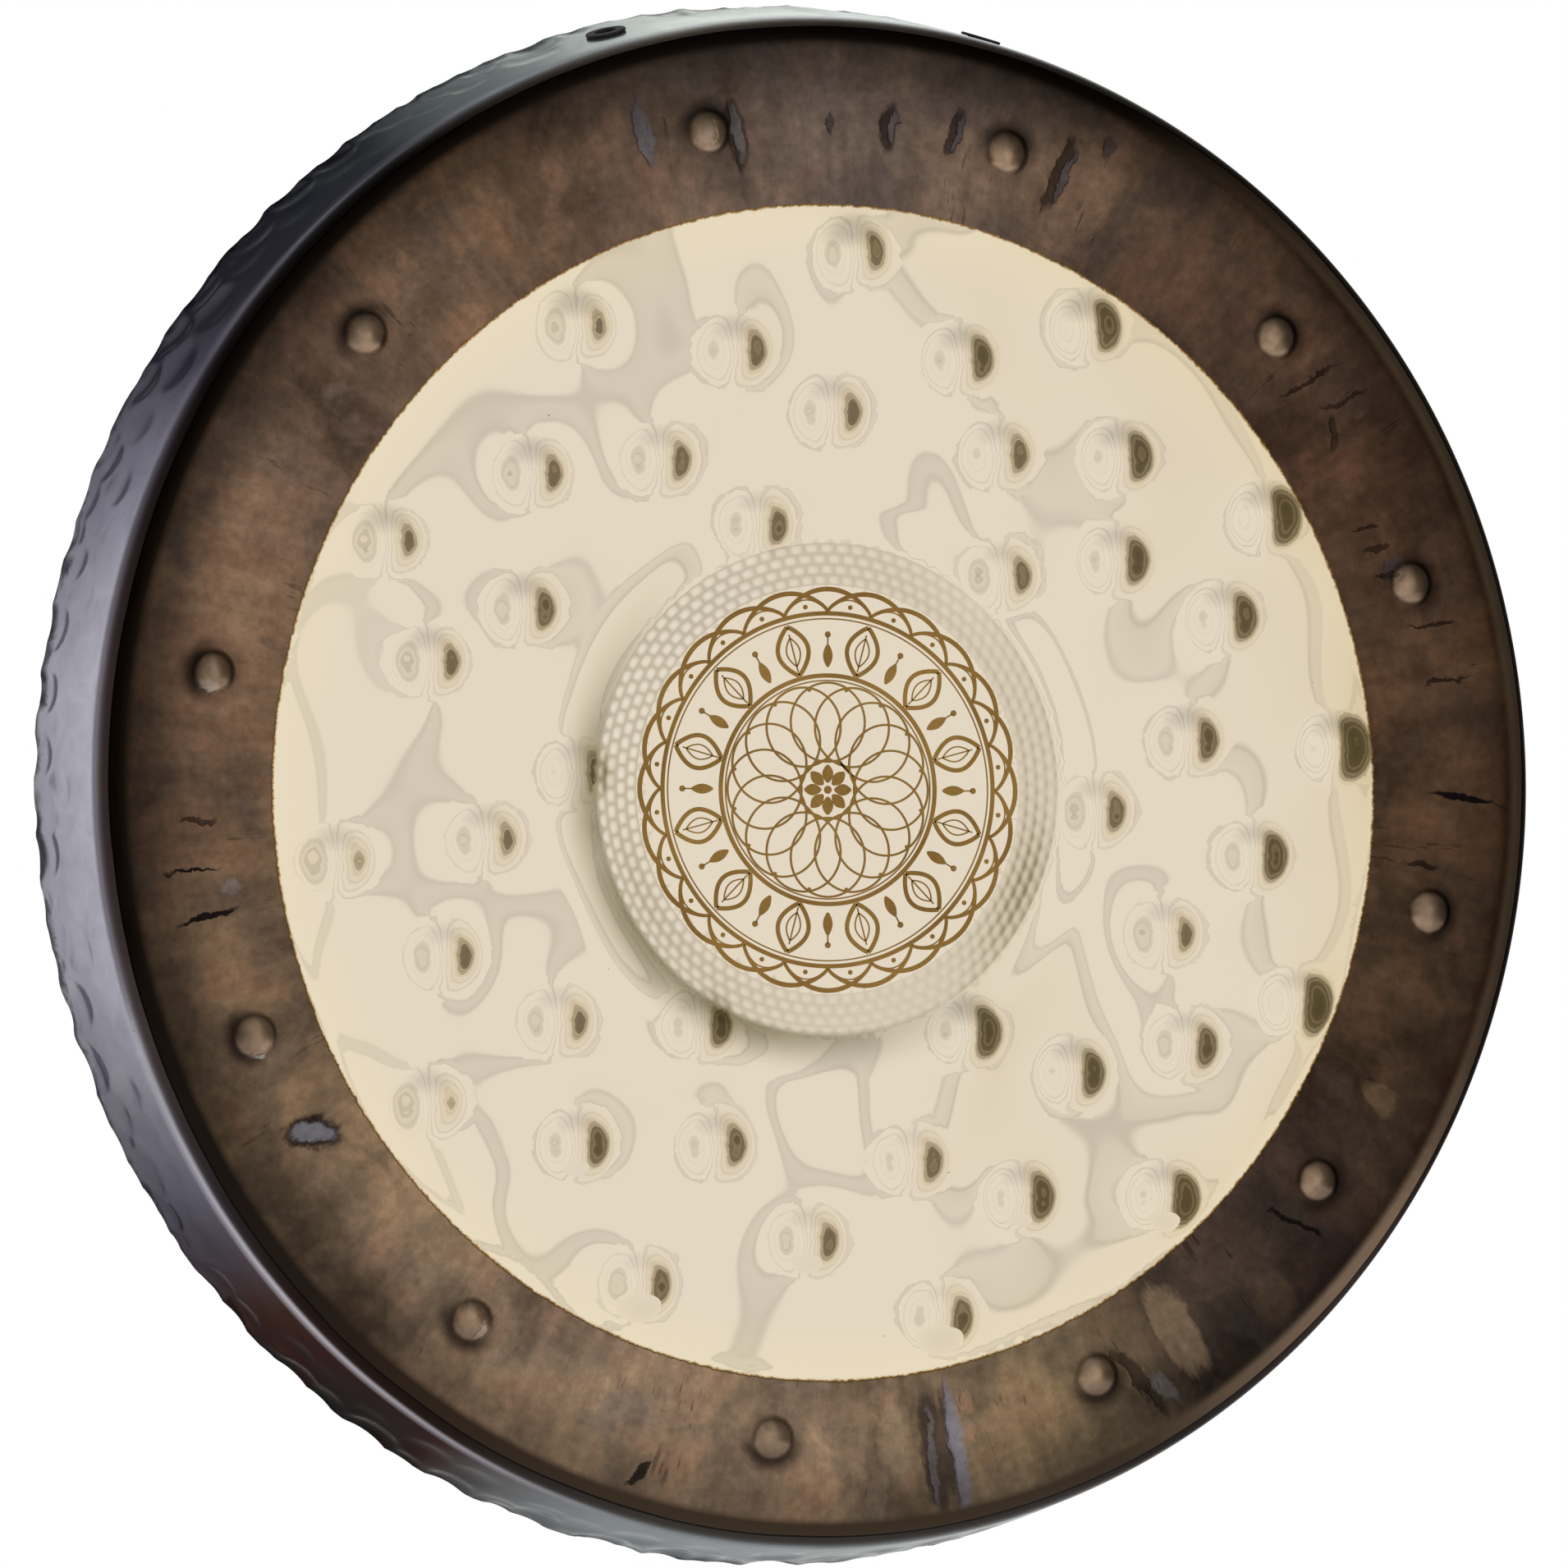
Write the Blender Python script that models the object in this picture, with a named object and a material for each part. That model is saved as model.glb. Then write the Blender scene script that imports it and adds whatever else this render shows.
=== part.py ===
"""Flat gong, forged from one bronze sheet, with a deep rim turned back round it.

The struck face looks towards -Y, +Z is up and +X is to the right of someone who faces the gong.
The origin is the point it hangs from, midway between its two cord holes. Metres throughout, angles in degrees.
"""

import math
import random

import bmesh
import bpy
from mathutils import Matrix
from mathutils.geometry import delaunay_2d_cdt

# The forged sheet, from its rim inwards
RIM_RADIUS = 0.406  # outside of the rim at its back edge
RIM_DEPTH = 0.085  # from the plane of the polished face to the back edge
RIM_FLARE = 7.5  # how far the wall opens out towards the back
SHEET = 0.002
BEND_RADIUS = 0.021  # outside of the bend that joins face and wall
BAND_WIDTH = 0.074  # dark band between the bend and the polished face
BAND_TILT = 6.0  # the band falls back and leans this far where it meets the bend
POLISH_DROP = 0.006  # the polished circle sits this much below the rim's axis

# Raised disc in the middle, with a beaded flank
DISC_RADIUS = 0.106
FLANK_WIDTH = 0.022
DISC_RISE = 0.0032
DISC_DROP = 0.0045  # the disc's centre lies this much below the rim's axis
BEAD_ROWS = 4
BEADS_PER_ROW = 92
BEAD_RISE = 0.0012

# Round bosses driven out from behind. Angles run clockwise from the top, as the eye reads them off the face.
FACE_BOSS_RADIUS = 0.019  # broad and low on the polished face
FACE_BOSS_RISE = 0.0028
BAND_BOSS_RADIUS = 0.0135  # tighter and higher on the dark band
BAND_BOSS_RISE = 0.0042
BAND_BOSSES = (17, 47, 72, 101, 127, 154, 185, 215, 247, 279, 312, 349)
RING_CENTRE = (0.005, -0.0045)  # the four rings on the polished face share this centre
RING_INSET = 0.0155  # centres of the inner ring to the foot of the beaded flank
EDGE_INSET = 0.0265  # centres of the outer ring to the polished edge
FOOT_GAP = 0.0008  # points of a boss stay this far from the beaded flank
FACE_RINGS = (  # place between the inner ring, 0, and the outer one, 1; then the bosses' angles
    (0.00, (39, 94, 150, 212, 273, 342)),
    (0.39, (27, 52, 82, 112, 138, 168, 200, 232, 262, 298, 330, 359)),
    (0.67, (17, 42, 67, 98, 124, 154, 184, 218, 248, 286, 314, 346)),
    (1.00, (2, 30, 59, 85, 113, 139, 168, 203, 234, 262, 297, 329)),
)

# Hammer dents along the back half of the wall
DENT_ROWS = 2
DENTS_PER_ROW = 78
DENT_RADIUS = 0.016
DENT_SINK = 0.0018
DENT_INSET = 0.009  # first row to the back edge
DENT_ROW_PITCH = 0.021
DENT_SEED = 7

# Cord holes and the grommets that line them
HOLE_ANGLE = 15.0  # each side of the top
HOLE_RADIUS = 0.007
HOLE_INSET = 0.035  # hole centre to the back edge
FIT_GAP = 0.0003  # between the sheet and a grommet
BORE_RADIUS = 0.0056
FLANGE_LIP = 0.0036  # how far a flange reaches past the hole's edge
FLANGE_THICKNESS = 0.0014
FLANGE_CHAMFER = 0.0006

# Facets
RIM_STEPS = 200
BEND_STEPS = 5
WALL_STEPS = 4
INSIDE_BEND_STEPS = 3
INSIDE_WALL_STEPS = 2
BOSS_SIDES = 8
BACK_STEPS = 72
GROMMET_STEPS = 16

# Sizes that follow from the ones above
FLARE = math.radians(RIM_FLARE)
TILT = math.radians(BAND_TILT)
BAND_FALL = BAND_WIDTH * math.tan(TILT) / 2
BEND_DEPTH = BAND_FALL + BEND_RADIUS * math.cos(TILT)
BEND_CENTRE = RIM_RADIUS - (RIM_DEPTH - BEND_DEPTH) * math.tan(FLARE) - BEND_RADIUS / math.cos(FLARE)
FACE_RADIUS = BEND_CENTRE + BEND_RADIUS * math.sin(TILT)
POLISH_RADIUS = FACE_RADIUS - BAND_WIDTH
FOOT_RADIUS = DISC_RADIUS + FLANK_WIDTH
DISC_CENTRE = (0.0, -DISC_DROP)
INNER_RING = FOOT_RADIUS + RING_INSET
OUTER_RING = POLISH_RADIUS - EDGE_INSET
BAND_RING = FACE_RADIUS - BAND_WIDTH / 2
HOLE_DEPTH = RIM_DEPTH - HOLE_INSET
FLANGE_RADIUS = HOLE_RADIUS + FLANGE_LIP


def clear_scene():
    for item in list(bpy.data.objects):
        bpy.data.objects.remove(item, do_unlink=True)


def metal_or_rubber(name, colour, roughness, metallic):
    material = bpy.data.materials.new(name)
    material.use_nodes = True
    shader = material.node_tree.nodes["Principled BSDF"]
    shader.inputs["Base Color"].default_value = (*colour, 1.0)
    shader.inputs["Roughness"].default_value = roughness
    shader.inputs["Metallic"].default_value = metallic
    material.diffuse_color = (*colour, 1.0)
    return material


def wall_radius(depth):
    """Outside of the straight part of the wall."""
    return RIM_RADIUS - (RIM_DEPTH - depth) * math.tan(FLARE)


def clock_point(radius, angle, centre=(0.0, 0.0)):
    """A point on the face, by its angle clockwise from the top."""
    turn = math.radians(angle)
    return centre[0] + radius * math.sin(turn), centre[1] + radius * math.cos(turn)


def circle(radius, count, centre=(0.0, 0.0), start=0.0):
    return [clock_point(radius, start - 360 * step / count, centre) for step in range(count)]


def boss_list():
    """Every boss: its centre, its radius and its rise."""
    bosses = []
    for angle in BAND_BOSSES:
        bosses.append((clock_point(BAND_RING, angle), BAND_BOSS_RADIUS, BAND_BOSS_RISE))
    for share, angles in FACE_RINGS:
        ring = INNER_RING + share * (OUTER_RING - INNER_RING)
        for angle in angles:
            bosses.append((clock_point(ring, angle, RING_CENTRE), FACE_BOSS_RADIUS, FACE_BOSS_RISE))
    return bosses


BOSSES = boss_list()


def smooth(value):
    value = min(max(value, 0.0), 1.0)
    return value * value * (3 - 2 * value)


def bell(distance, radius):
    """1 at the middle of a hammered mark, 0 at its edge, with no crease."""
    if distance >= radius:
        return 0.0
    return (1 - (distance / radius) ** 2) ** 2


def face_depth(x, z):
    """How far a point of the front surface lies behind the plane of the polished face."""
    across_band = (math.hypot(x, z) - POLISH_RADIUS) / BAND_WIDTH
    fall = BAND_FALL * max(across_band, 0.0) ** 2
    from_disc = math.hypot(x - DISC_CENTRE[0], z - DISC_CENTRE[1])
    disc = DISC_RISE * (1 - smooth((from_disc - DISC_RADIUS) / FLANK_WIDTH))
    boss = max(rise * bell(math.dist((x, z), centre), radius) for centre, radius, rise in BOSSES)
    return fall - disc - boss


def add_patch(bm, outer, inner, inside, back=False):
    """Triangulates the face between two closed outlines, through the points inside."""
    points = outer + inner + inside
    edges = [(i, (i + 1) % len(outer)) for i in range(len(outer))]
    edges += [(len(outer) + i, len(outer) + (i + 1) % len(inner)) for i in range(len(inner))]
    placed, _, faces, *_ = delaunay_2d_cdt(points, edges, [], 0, 1e-7)
    thickness = SHEET if back else 0.0
    verts = [bm.verts.new((p[0], face_depth(*p) + thickness, p[1])) for p in placed]
    hole = range(len(outer), len(outer) + len(inner))
    for face in faces:
        if all(i in hole for i in face):
            continue
        loop = reversed(face) if back else face
        bm.faces.new([verts[i] for i in loop])


def boss_points(rings):
    """Points that shape every boss: its foot, the rings inside it and its top, as far as the beaded flank."""
    points = []
    for centre, radius, _ in BOSSES:
        for share in rings:
            points += circle(share * radius, BOSS_SIDES, centre)
        points.append(centre)
    return [(x, z) for x, z in points if math.dist((x, z), DISC_CENTRE) > FOOT_RADIUS + FOOT_GAP]


def add_beads(bm):
    """The flank's rows of beads: high and low points take turns, and each row is half a bead further on."""
    columns = 2 * BEADS_PER_ROW
    rows = []
    for row in range(BEAD_ROWS + 2):
        share = min(max(row - 0.5, 0.0), BEAD_ROWS) / BEAD_ROWS
        line = []
        for column, (x, z) in enumerate(circle(DISC_RADIUS + FLANK_WIDTH * share, columns, DISC_CENTRE)):
            proud = BEAD_RISE if 0 < row <= BEAD_ROWS and (row + column) % 2 == 0 else 0.0
            line.append(bm.verts.new((x, face_depth(x, z) - proud, z)))
        rows.append(line)
    for row in range(BEAD_ROWS + 1):
        inner, outer = rows[row], rows[row + 1]
        for column in range(columns):
            after = (column + 1) % columns
            a, b, c, d = inner[column], outer[column], outer[after], inner[after]
            if (row + column) % 2 == 0:
                corners = (a, b, d), (b, c, d)
            else:
                corners = (a, b, c), (a, c, d)
            for corner in corners:
                bm.faces.new(corner)


def hole_places():
    """Each cord hole: its side, and its turn about the rim's axis."""
    return (("left", -HOLE_ANGLE), ("right", HOLE_ANGLE))


def wall_dents():
    """Hammer marks on the wall, each at an angle and a depth, with its own radius and sink."""
    rng = random.Random(DENT_SEED)
    dents = []
    keep = DENT_RADIUS + FLANGE_RADIUS + 2 * math.pi * RIM_RADIUS / RIM_STEPS
    for row in range(DENT_ROWS):
        for mark in range(DENTS_PER_ROW):
            angle = 360 * (mark + row / 2 + rng.uniform(-0.3, 0.3)) / DENTS_PER_ROW
            depth = RIM_DEPTH - DENT_INSET - DENT_ROW_PITCH * (row + rng.uniform(-0.25, 0.25))
            radius = DENT_RADIUS * rng.uniform(0.75, 1.0)
            sink = DENT_SINK * rng.uniform(0.35, 1.0) / (1 + row)
            if all(wall_distance(angle, depth, hole, HOLE_DEPTH) > keep for _, hole in hole_places()):
                dents.append((angle, depth, radius, sink))
    return dents


def wall_distance(angle_a, depth_a, angle_b, depth_b):
    turn = (angle_a - angle_b + 180) % 360 - 180
    return math.hypot(RIM_RADIUS * math.radians(turn), depth_a - depth_b)


def section_points(radius, bend_steps, wall_steps):
    """Half section of one side of the sheet, from the face round the bend to the back edge."""
    points = []
    for step in range(bend_steps + 1):
        turn = TILT + (math.pi / 2 - FLARE - TILT) * step / bend_steps
        points.append((BEND_CENTRE + radius * math.sin(turn), BEND_DEPTH - radius * math.cos(turn)))
    start_radius, start_depth = points[-1]
    for step in range(1, wall_steps + 1):
        rise = (RIM_DEPTH - start_depth) * step / wall_steps
        points.append((start_radius + rise * math.tan(FLARE), start_depth + rise))
    return points


def add_rim(bm):
    """Sweeps the section round the axis, with the wall knocked in at each dent."""
    dents = wall_dents()
    outside = section_points(BEND_RADIUS, BEND_STEPS, WALL_STEPS)
    inside = section_points(BEND_RADIUS - SHEET, INSIDE_BEND_STEPS, INSIDE_WALL_STEPS)
    section = outside + inside[::-1]
    rings = [[] for _ in section]
    for step in range(RIM_STEPS):
        angle = -360 * step / RIM_STEPS
        for ring, (radius, depth) in zip(rings, section):
            sunk = max(
                (sink * bell(wall_distance(angle, depth, at, deep), size) for at, deep, size, sink in dents),
                default=0.0,
            )
            x, z = clock_point(radius - sunk, angle)
            ring.append(bm.verts.new((x, depth, z)))
    for near, far in zip(rings, rings[1:]):
        for step in range(RIM_STEPS):
            after = (step + 1) % RIM_STEPS
            bm.faces.new((near[step], far[step], far[after], near[after]))


def make_gong_plate(materials):
    bm = bmesh.new()
    beads = 2 * BEADS_PER_ROW
    foot = circle(FOOT_RADIUS, beads, DISC_CENTRE)
    top = circle(DISC_RADIUS, beads, DISC_CENTRE)
    add_patch(bm, top, [], [DISC_CENTRE])
    add_beads(bm)
    polish = circle(POLISH_RADIUS, BACK_STEPS, (0.0, -POLISH_DROP))
    band = circle(FACE_RADIUS - BAND_BOSS_RADIUS, 2 * BACK_STEPS)
    add_patch(bm, circle(FACE_RADIUS, RIM_STEPS), foot, boss_points((1.0, 0.55)) + polish + band)

    back_radius = BEND_CENTRE + (BEND_RADIUS - SHEET) * math.sin(TILT)
    back_foot = circle(FOOT_RADIUS, BACK_STEPS, DISC_CENTRE)
    back_top = circle(DISC_RADIUS, BACK_STEPS, DISC_CENTRE)
    inside = boss_points((1.0,)) + back_foot + back_top + [DISC_CENTRE] + polish
    add_patch(bm, circle(back_radius, RIM_STEPS), [], inside, back=True)
    add_rim(bm)
    bmesh.ops.remove_doubles(bm, verts=bm.verts, dist=0.00005)
    bmesh.ops.recalc_face_normals(bm, faces=bm.faces)

    for face in bm.faces:
        middle = face.calc_center_median()
        polished = math.hypot(middle.x, middle.z + POLISH_DROP) < POLISH_RADIUS and face.normal.y < 0
        face.material_index = 0 if polished else 1
    plate = add_object("gong_plate", bm, materials)
    place = hanging_frame()
    plate.matrix_world = place
    for side, angle in hole_places():
        cutter = add_object(side + "_hole_cutter", hole_cylinder(), [])
        cutter.matrix_world = place @ wall_frame(angle)
        cutter.hide_render = True
        cutter.display_type = "WIRE"
        cut = plate.modifiers.new(side + "_hole", "BOOLEAN")
        cut.object = cutter
        cut.operation = "DIFFERENCE"
        cut.solver = "EXACT"
    return plate


def hanging_frame():
    """Moves the gong's own frame, axis at the polished plane, so that the origin is the hanging point."""
    hang = wall_radius(HOLE_DEPTH) * math.cos(math.radians(HOLE_ANGLE))
    return Matrix.Translation((0.0, -HOLE_DEPTH, -hang))


def wall_frame(angle):
    """A frame in the middle of the sheet at a cord hole, with Z straight out through the wall."""
    middle = wall_radius(HOLE_DEPTH) - SHEET / (2 * math.cos(FLARE))
    x, z = clock_point(middle, angle)
    around = Matrix.Rotation(math.radians(angle), 4, "Y")
    lean = Matrix.Rotation(FLARE, 4, "X")
    return Matrix.Translation((x, HOLE_DEPTH, z)) @ around @ lean


def hole_cylinder():
    bm = bmesh.new()
    bmesh.ops.create_cone(
        bm, cap_ends=True, segments=GROMMET_STEPS, radius1=HOLE_RADIUS, radius2=HOLE_RADIUS, depth=8 * SHEET
    )
    return bm


def make_grommet(side, angle, material):
    """A grommet snapped into one cord hole: a sleeve with a flange on each side of the sheet."""
    waist = HOLE_RADIUS - FIT_GAP
    seat = SHEET / 2 + FIT_GAP
    end = seat + FLANGE_THICKNESS
    half = [
        (waist, seat),
        (FLANGE_RADIUS, seat),
        (FLANGE_RADIUS, end - FLANGE_CHAMFER),
        (FLANGE_RADIUS - FLANGE_CHAMFER, end),
        (BORE_RADIUS + FLANGE_CHAMFER, end),
        (BORE_RADIUS, end - FLANGE_CHAMFER),
    ]
    outline = half + [(radius, -height) for radius, height in reversed(half)]
    bm = bmesh.new()
    verts = [bm.verts.new((radius, 0.0, height)) for radius, height in outline]
    edges = [bm.edges.new((verts[i - 1], verts[i])) for i in range(len(verts))]
    bmesh.ops.spin(
        bm, geom=verts + edges, cent=(0, 0, 0), axis=(0, 0, 1), angle=2 * math.pi, steps=GROMMET_STEPS,
        use_duplicate=False,
    )
    bmesh.ops.remove_doubles(bm, verts=bm.verts, dist=0.00001)
    bmesh.ops.recalc_face_normals(bm, faces=bm.faces)
    grommet = add_object(side + "_cord_grommet", bm, [material])
    grommet.matrix_world = hanging_frame() @ wall_frame(angle)
    return grommet


def add_object(name, bm, materials):
    mesh = bpy.data.meshes.new(name)
    bm.to_mesh(mesh)
    bm.free()
    mesh.shade_smooth()
    mesh.set_sharp_from_angle(angle=math.radians(35))
    for material in materials:
        mesh.materials.append(material)
    item = bpy.data.objects.new(name, mesh)
    bpy.context.scene.collection.objects.link(item)
    return item


def main():
    clear_scene()
    polished = metal_or_rubber("polished_bronze", (0.79, 0.70, 0.52), 0.12, 1.0)
    patina = metal_or_rubber("forged_patina", (0.085, 0.052, 0.034), 0.45, 1.0)
    rubber = metal_or_rubber("black_rubber", (0.012, 0.012, 0.012), 0.6, 0.0)
    make_gong_plate([polished, patina])
    for side, angle in hole_places():
        make_grommet(side, angle, rubber)


main()
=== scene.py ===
import functools
import math
import random

import bmesh
import bpy
import numpy as np
from mathutils import Matrix, Vector
from mathutils.geometry import delaunay_2d_cdt


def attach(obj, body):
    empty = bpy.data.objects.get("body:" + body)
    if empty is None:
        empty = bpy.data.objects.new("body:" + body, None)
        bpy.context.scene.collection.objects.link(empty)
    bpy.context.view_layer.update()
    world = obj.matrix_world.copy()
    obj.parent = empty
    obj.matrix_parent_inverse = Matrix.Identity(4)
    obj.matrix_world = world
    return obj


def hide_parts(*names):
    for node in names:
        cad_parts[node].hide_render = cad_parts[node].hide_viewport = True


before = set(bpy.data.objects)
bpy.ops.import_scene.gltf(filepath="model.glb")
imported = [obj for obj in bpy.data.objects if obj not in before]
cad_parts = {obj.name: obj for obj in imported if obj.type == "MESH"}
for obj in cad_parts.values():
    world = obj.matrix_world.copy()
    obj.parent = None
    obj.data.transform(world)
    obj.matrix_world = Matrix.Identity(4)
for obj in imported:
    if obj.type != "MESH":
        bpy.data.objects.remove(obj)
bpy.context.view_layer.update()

# Flat forged bronze gong in a pale studio. Metres, +Z up, and the struck face looks towards -Y.
# Shapes are worked out in the gong's own frame, with its axis at the origin and depth along +Y from
# the plane of the polished face, and are moved to their hanging place at the end.


def linear(tone):
    # an sRGB hex code as the linear colour that the shaders use; a number is a linear grey
    if not isinstance(tone, str):
        return (tone, tone, tone, 1.0)
    channels = [int(tone[i:i + 2], 16) / 255 for i in (1, 3, 5)]
    return tuple(c / 12.92 if c <= 0.04045 else ((c + 0.055) / 1.055) ** 2.4 for c in channels) + (1.0,)


# What a second word in a node's kind sets
modes = {"Math": "operation", "VectorMath": "operation", "MapRange": "interpolation_type", "Mix": "data_type"}


def addNode(tree, kind, *values, inputs=None, stops=None, **settings):
    # Adds one node. The values go into its sockets in use, in their order, and inputs into the named ones.
    # Each is a plain value, a socket, or a node whose first output in use is taken. Stops are a ramp's places
    # and tones.
    kind, *mode = kind.split()
    node = tree.nodes.new(kind if kind.startswith(("Geometry", "NodeGroup")) else "ShaderNode" + kind)
    if mode:
        settings[modes[kind]] = mode[0]
    for name, value in settings.items():
        setattr(node, name, value)
    inUse = [socket for socket in node.inputs if socket.enabled]
    given = list(zip(inUse, values)) + [(node.inputs[name], value) for name, value in (inputs or {}).items()]
    for socket, value in given:
        if isinstance(value, bpy.types.Node):
            value = next(output for output in value.outputs if output.enabled)
        if isinstance(value, bpy.types.NodeSocket):
            tree.links.new(value, socket)
        else:
            socket.default_value = value
    if stops:
        elements = node.color_ramp.elements
        elements.remove(elements[1])
        elements[0].position, elements[0].color = stops[0][0], linear(stops[0][1])
        for place, tone in stops[1:]:
            elements.new(place).color = linear(tone)
    return node


def allRound(stops):
    # the stops of a ramp that ends as it begins
    return list(stops) + [(1.0, stops[0][1])]


def newMaterial(name):
    # a material without nodes, and what adds nodes to it
    material = bpy.data.materials.new(name)
    material.use_nodes = True
    material.node_tree.nodes.clear()
    return material, functools.partial(addNode, material.node_tree)


def newGroup(name, **sockets):
    # a Geometry Nodes group with one geometry in and out and inputs by kind, and what adds nodes to it
    tree = bpy.data.node_groups.new(name, "GeometryNodeTree")
    for kind, titles in {"Geometry": ["Geometry"], **sockets}.items():
        for title in titles:
            tree.interface.new_socket(title, in_out="INPUT", socket_type="NodeSocket" + kind)
    tree.interface.new_socket("Geometry", in_out="OUTPUT", socket_type="NodeSocketGeometry")
    return tree, functools.partial(addNode, tree)


def newMesh(bm, name, weld=0.0):
    # the bmesh as a mesh, its doubles welded and its normals turned outwards if weld is a distance
    if weld:
        bmesh.ops.remove_doubles(bm, verts=bm.verts, dist=weld)
        bmesh.ops.recalc_face_normals(bm, faces=bm.faces)
    mesh = bpy.data.meshes.new(name)
    bm.to_mesh(mesh)
    bm.free()
    return mesh


def newPiece(name, mesh):
    piece = bpy.data.objects.new(name, mesh)
    bpy.context.scene.collection.objects.link(piece)
    return piece


def applyTree(piece, tree, values):
    # runs a Geometry Nodes tree on a piece and keeps the result as its plain mesh
    modifier = piece.modifiers.new(tree.name, "NODES")
    modifier.node_group = tree
    for item in tree.interface.items_tree:
        if item.in_out == "INPUT" and item.name in values:
            modifier[item.identifier] = values[item.name]
    layers = bpy.context.evaluated_depsgraph_get()
    mesh = bpy.data.meshes.new_from_object(
        piece.evaluated_get(layers), preserve_all_data_layers=True, depsgraph=layers
    )
    piece.modifiers.remove(modifier)
    piece.data = mesh
    return piece


def smooth(value):
    value = np.clip(value, 0, 1)
    return value * value * (3 - 2 * value)


def ease(value):
    # nearly straight from 0 to 1, with rounded ends
    value = np.clip(value, 0, 1)
    return 0.75 * value + 0.25 * smooth(value)


# The forged sheet. Sizes up to the seed are those of the CAD part.
gong = {
    "rimRadius": 0.406,
    "rimDepth": 0.085,
    "rimFlare": 7.5,
    "sheet": 0.002,
    "bendRadius": 0.021,
    "bandWidth": 0.074,
    "bandTilt": 6.0,
    "polishDrop": 0.006,
    "discRadius": 0.106,
    "flankWidth": 0.022,
    "discCentre": (0.0, -0.0045),
    "beadRows": 4,
    "beadsPerRow": 92,
    "bandBosses": (17, 47, 72, 101, 127, 154, 185, 215, 247, 279, 312, 349),
    "ringCentre": (0.005, -0.0045),
    "ringInset": 0.0155,
    "edgeInset": 0.0265,
    "faceRings": (
        (0.00, (39, 94, 150, 212, 273, 342)),
        (0.39, (27, 52, 82, 112, 138, 168, 200, 232, 262, 298, 330, 359)),
        (0.67, (17, 42, 67, 98, 124, 154, 184, 218, 248, 286, 314, 346)),
        (1.00, (2, 30, 59, 85, 113, 139, 168, 203, 234, 262, 297, 329)),
    ),
    "dentRows": 2,
    "dentsPerRow": 78,
    "dentRadius": 0.016,
    "dentSink": 0.0018,
    "dentInset": 0.009,
    "dentRowPitch": 0.021,
    "holeAngle": 15.0,
    "holeRadius": 0.007,
    "holeInset": 0.035,
    "flangeLip": 0.0036,
    "rimSteps": 200,  # facets of the CAD rim, which set how far dents keep from the holes
    "dentSeed": 7,
    "faceBoss": (0.0215, 0.0021),  # radius and rise of a boss on the polished face
    "darkBoss": (0.0115, 0.0044),  # and on the dark band, where they are small crisp domes
    "discRise": 0.0005,
    "moatSink": 0.0006,  # the sheet sinks round the disc's foot
    "moatReach": 0.026,
    "beadRise": 0.00015,
    "dentDeepen": 1.6,
    "edgeDents": 94,  # small blows right along the back edge
    "edgeDentRadius": (0.008, 0.0125),
    "edgeDentSink": (0.0006, 0.0021),
    "edgeSeed": 31,
    "domeDrop": 0.0012,  # the polished face falls this much from the disc to its edge
    "edgeDrop": 0.0014,  # and this much more close to the edge of the polish
    "rollWidth": 0.012,  # the band rolls into the bend over this width
    "skirtRise": 0.0009,  # metal pulled up round each boss
    "skirtReach": 0.025,
    "waveRise": 0.0013,  # what the hammer left of the levelling
    "waveReach": (0.024, 0.064),
    "waveCount": 95,
    "waveSeed": 12,
    "settled": 0.0005,  # and all of it lies this much deeper
    "pullKnee": 0.0016,  # above this the skirts and marks together level off, within the room after it
    "pullRoom": 0.0008,
    "vigour": 0.16,  # bosses are driven this much more or less than the usual one
    "vigourSeed": 5,
    "crease": 50.0,  # degrees from which an edge stays sharp
}
flare = math.radians(gong["rimFlare"])
tilt = math.radians(gong["bandTilt"])
bandFall = gong["bandWidth"] * math.tan(tilt) / 2
bendDepth = bandFall + gong["bendRadius"] * math.cos(tilt)
bendCentre = (
    gong["rimRadius"] - (gong["rimDepth"] - bendDepth) * math.tan(flare)
    - gong["bendRadius"] / math.cos(flare)
)
faceRadius = bendCentre + gong["bendRadius"] * math.sin(tilt)
polishRadius = faceRadius - gong["bandWidth"]
footRadius = gong["discRadius"] + gong["flankWidth"]
innerRing = footRadius + gong["ringInset"]
outerRing = polishRadius - gong["edgeInset"]
bandRing = faceRadius - gong["bandWidth"] / 2
holeDepth = gong["rimDepth"] - gong["holeInset"]
wallAtHole = gong["rimRadius"] - gong["holeInset"] * math.tan(flare)
hang = wallAtHole * math.cos(math.radians(gong["holeAngle"]))
axisPlace = Vector((0.0, -holeDepth, -hang))
discX, discZ = gong["discCentre"]


def clockPoint(radius, angle, centre=(0.0, 0.0)):
    # a point on the face, by its angle clockwise from the top
    turn = np.radians(angle)
    return np.stack([centre[0] + radius * np.sin(turn), centre[1] + radius * np.cos(turn)], axis=-1)


def ring(radius, count, centre=(0.0, 0.0), start=0.0):
    return clockPoint(radius, start - 360 * np.arange(count) / count, centre)


faceBosses = [
    clockPoint(innerRing + share * (outerRing - innerRing), angle, gong["ringCentre"])
    for share, angles in gong["faceRings"]
    for angle in angles
]
darkBosses = [clockPoint(bandRing, angle) for angle in gong["bandBosses"]]
bosses = np.array(darkBosses + faceBosses)


def levellingMarks():
    # broad shallow marks left between the bosses: place, reach and height of each
    rng = random.Random(gong["waveSeed"])
    marks = []
    for _ in range(gong["waveCount"]):
        radius = faceRadius * math.sqrt(rng.random())
        turn = rng.uniform(0, 2 * math.pi)
        reach = rng.uniform(*gong["waveReach"])
        height = rng.uniform(-1, 1) * gong["waveRise"] * reach / gong["waveReach"][1]
        marks.append((radius * math.sin(turn), radius * math.cos(turn), reach, height))
    return marks


marks = levellingMarks()


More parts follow.
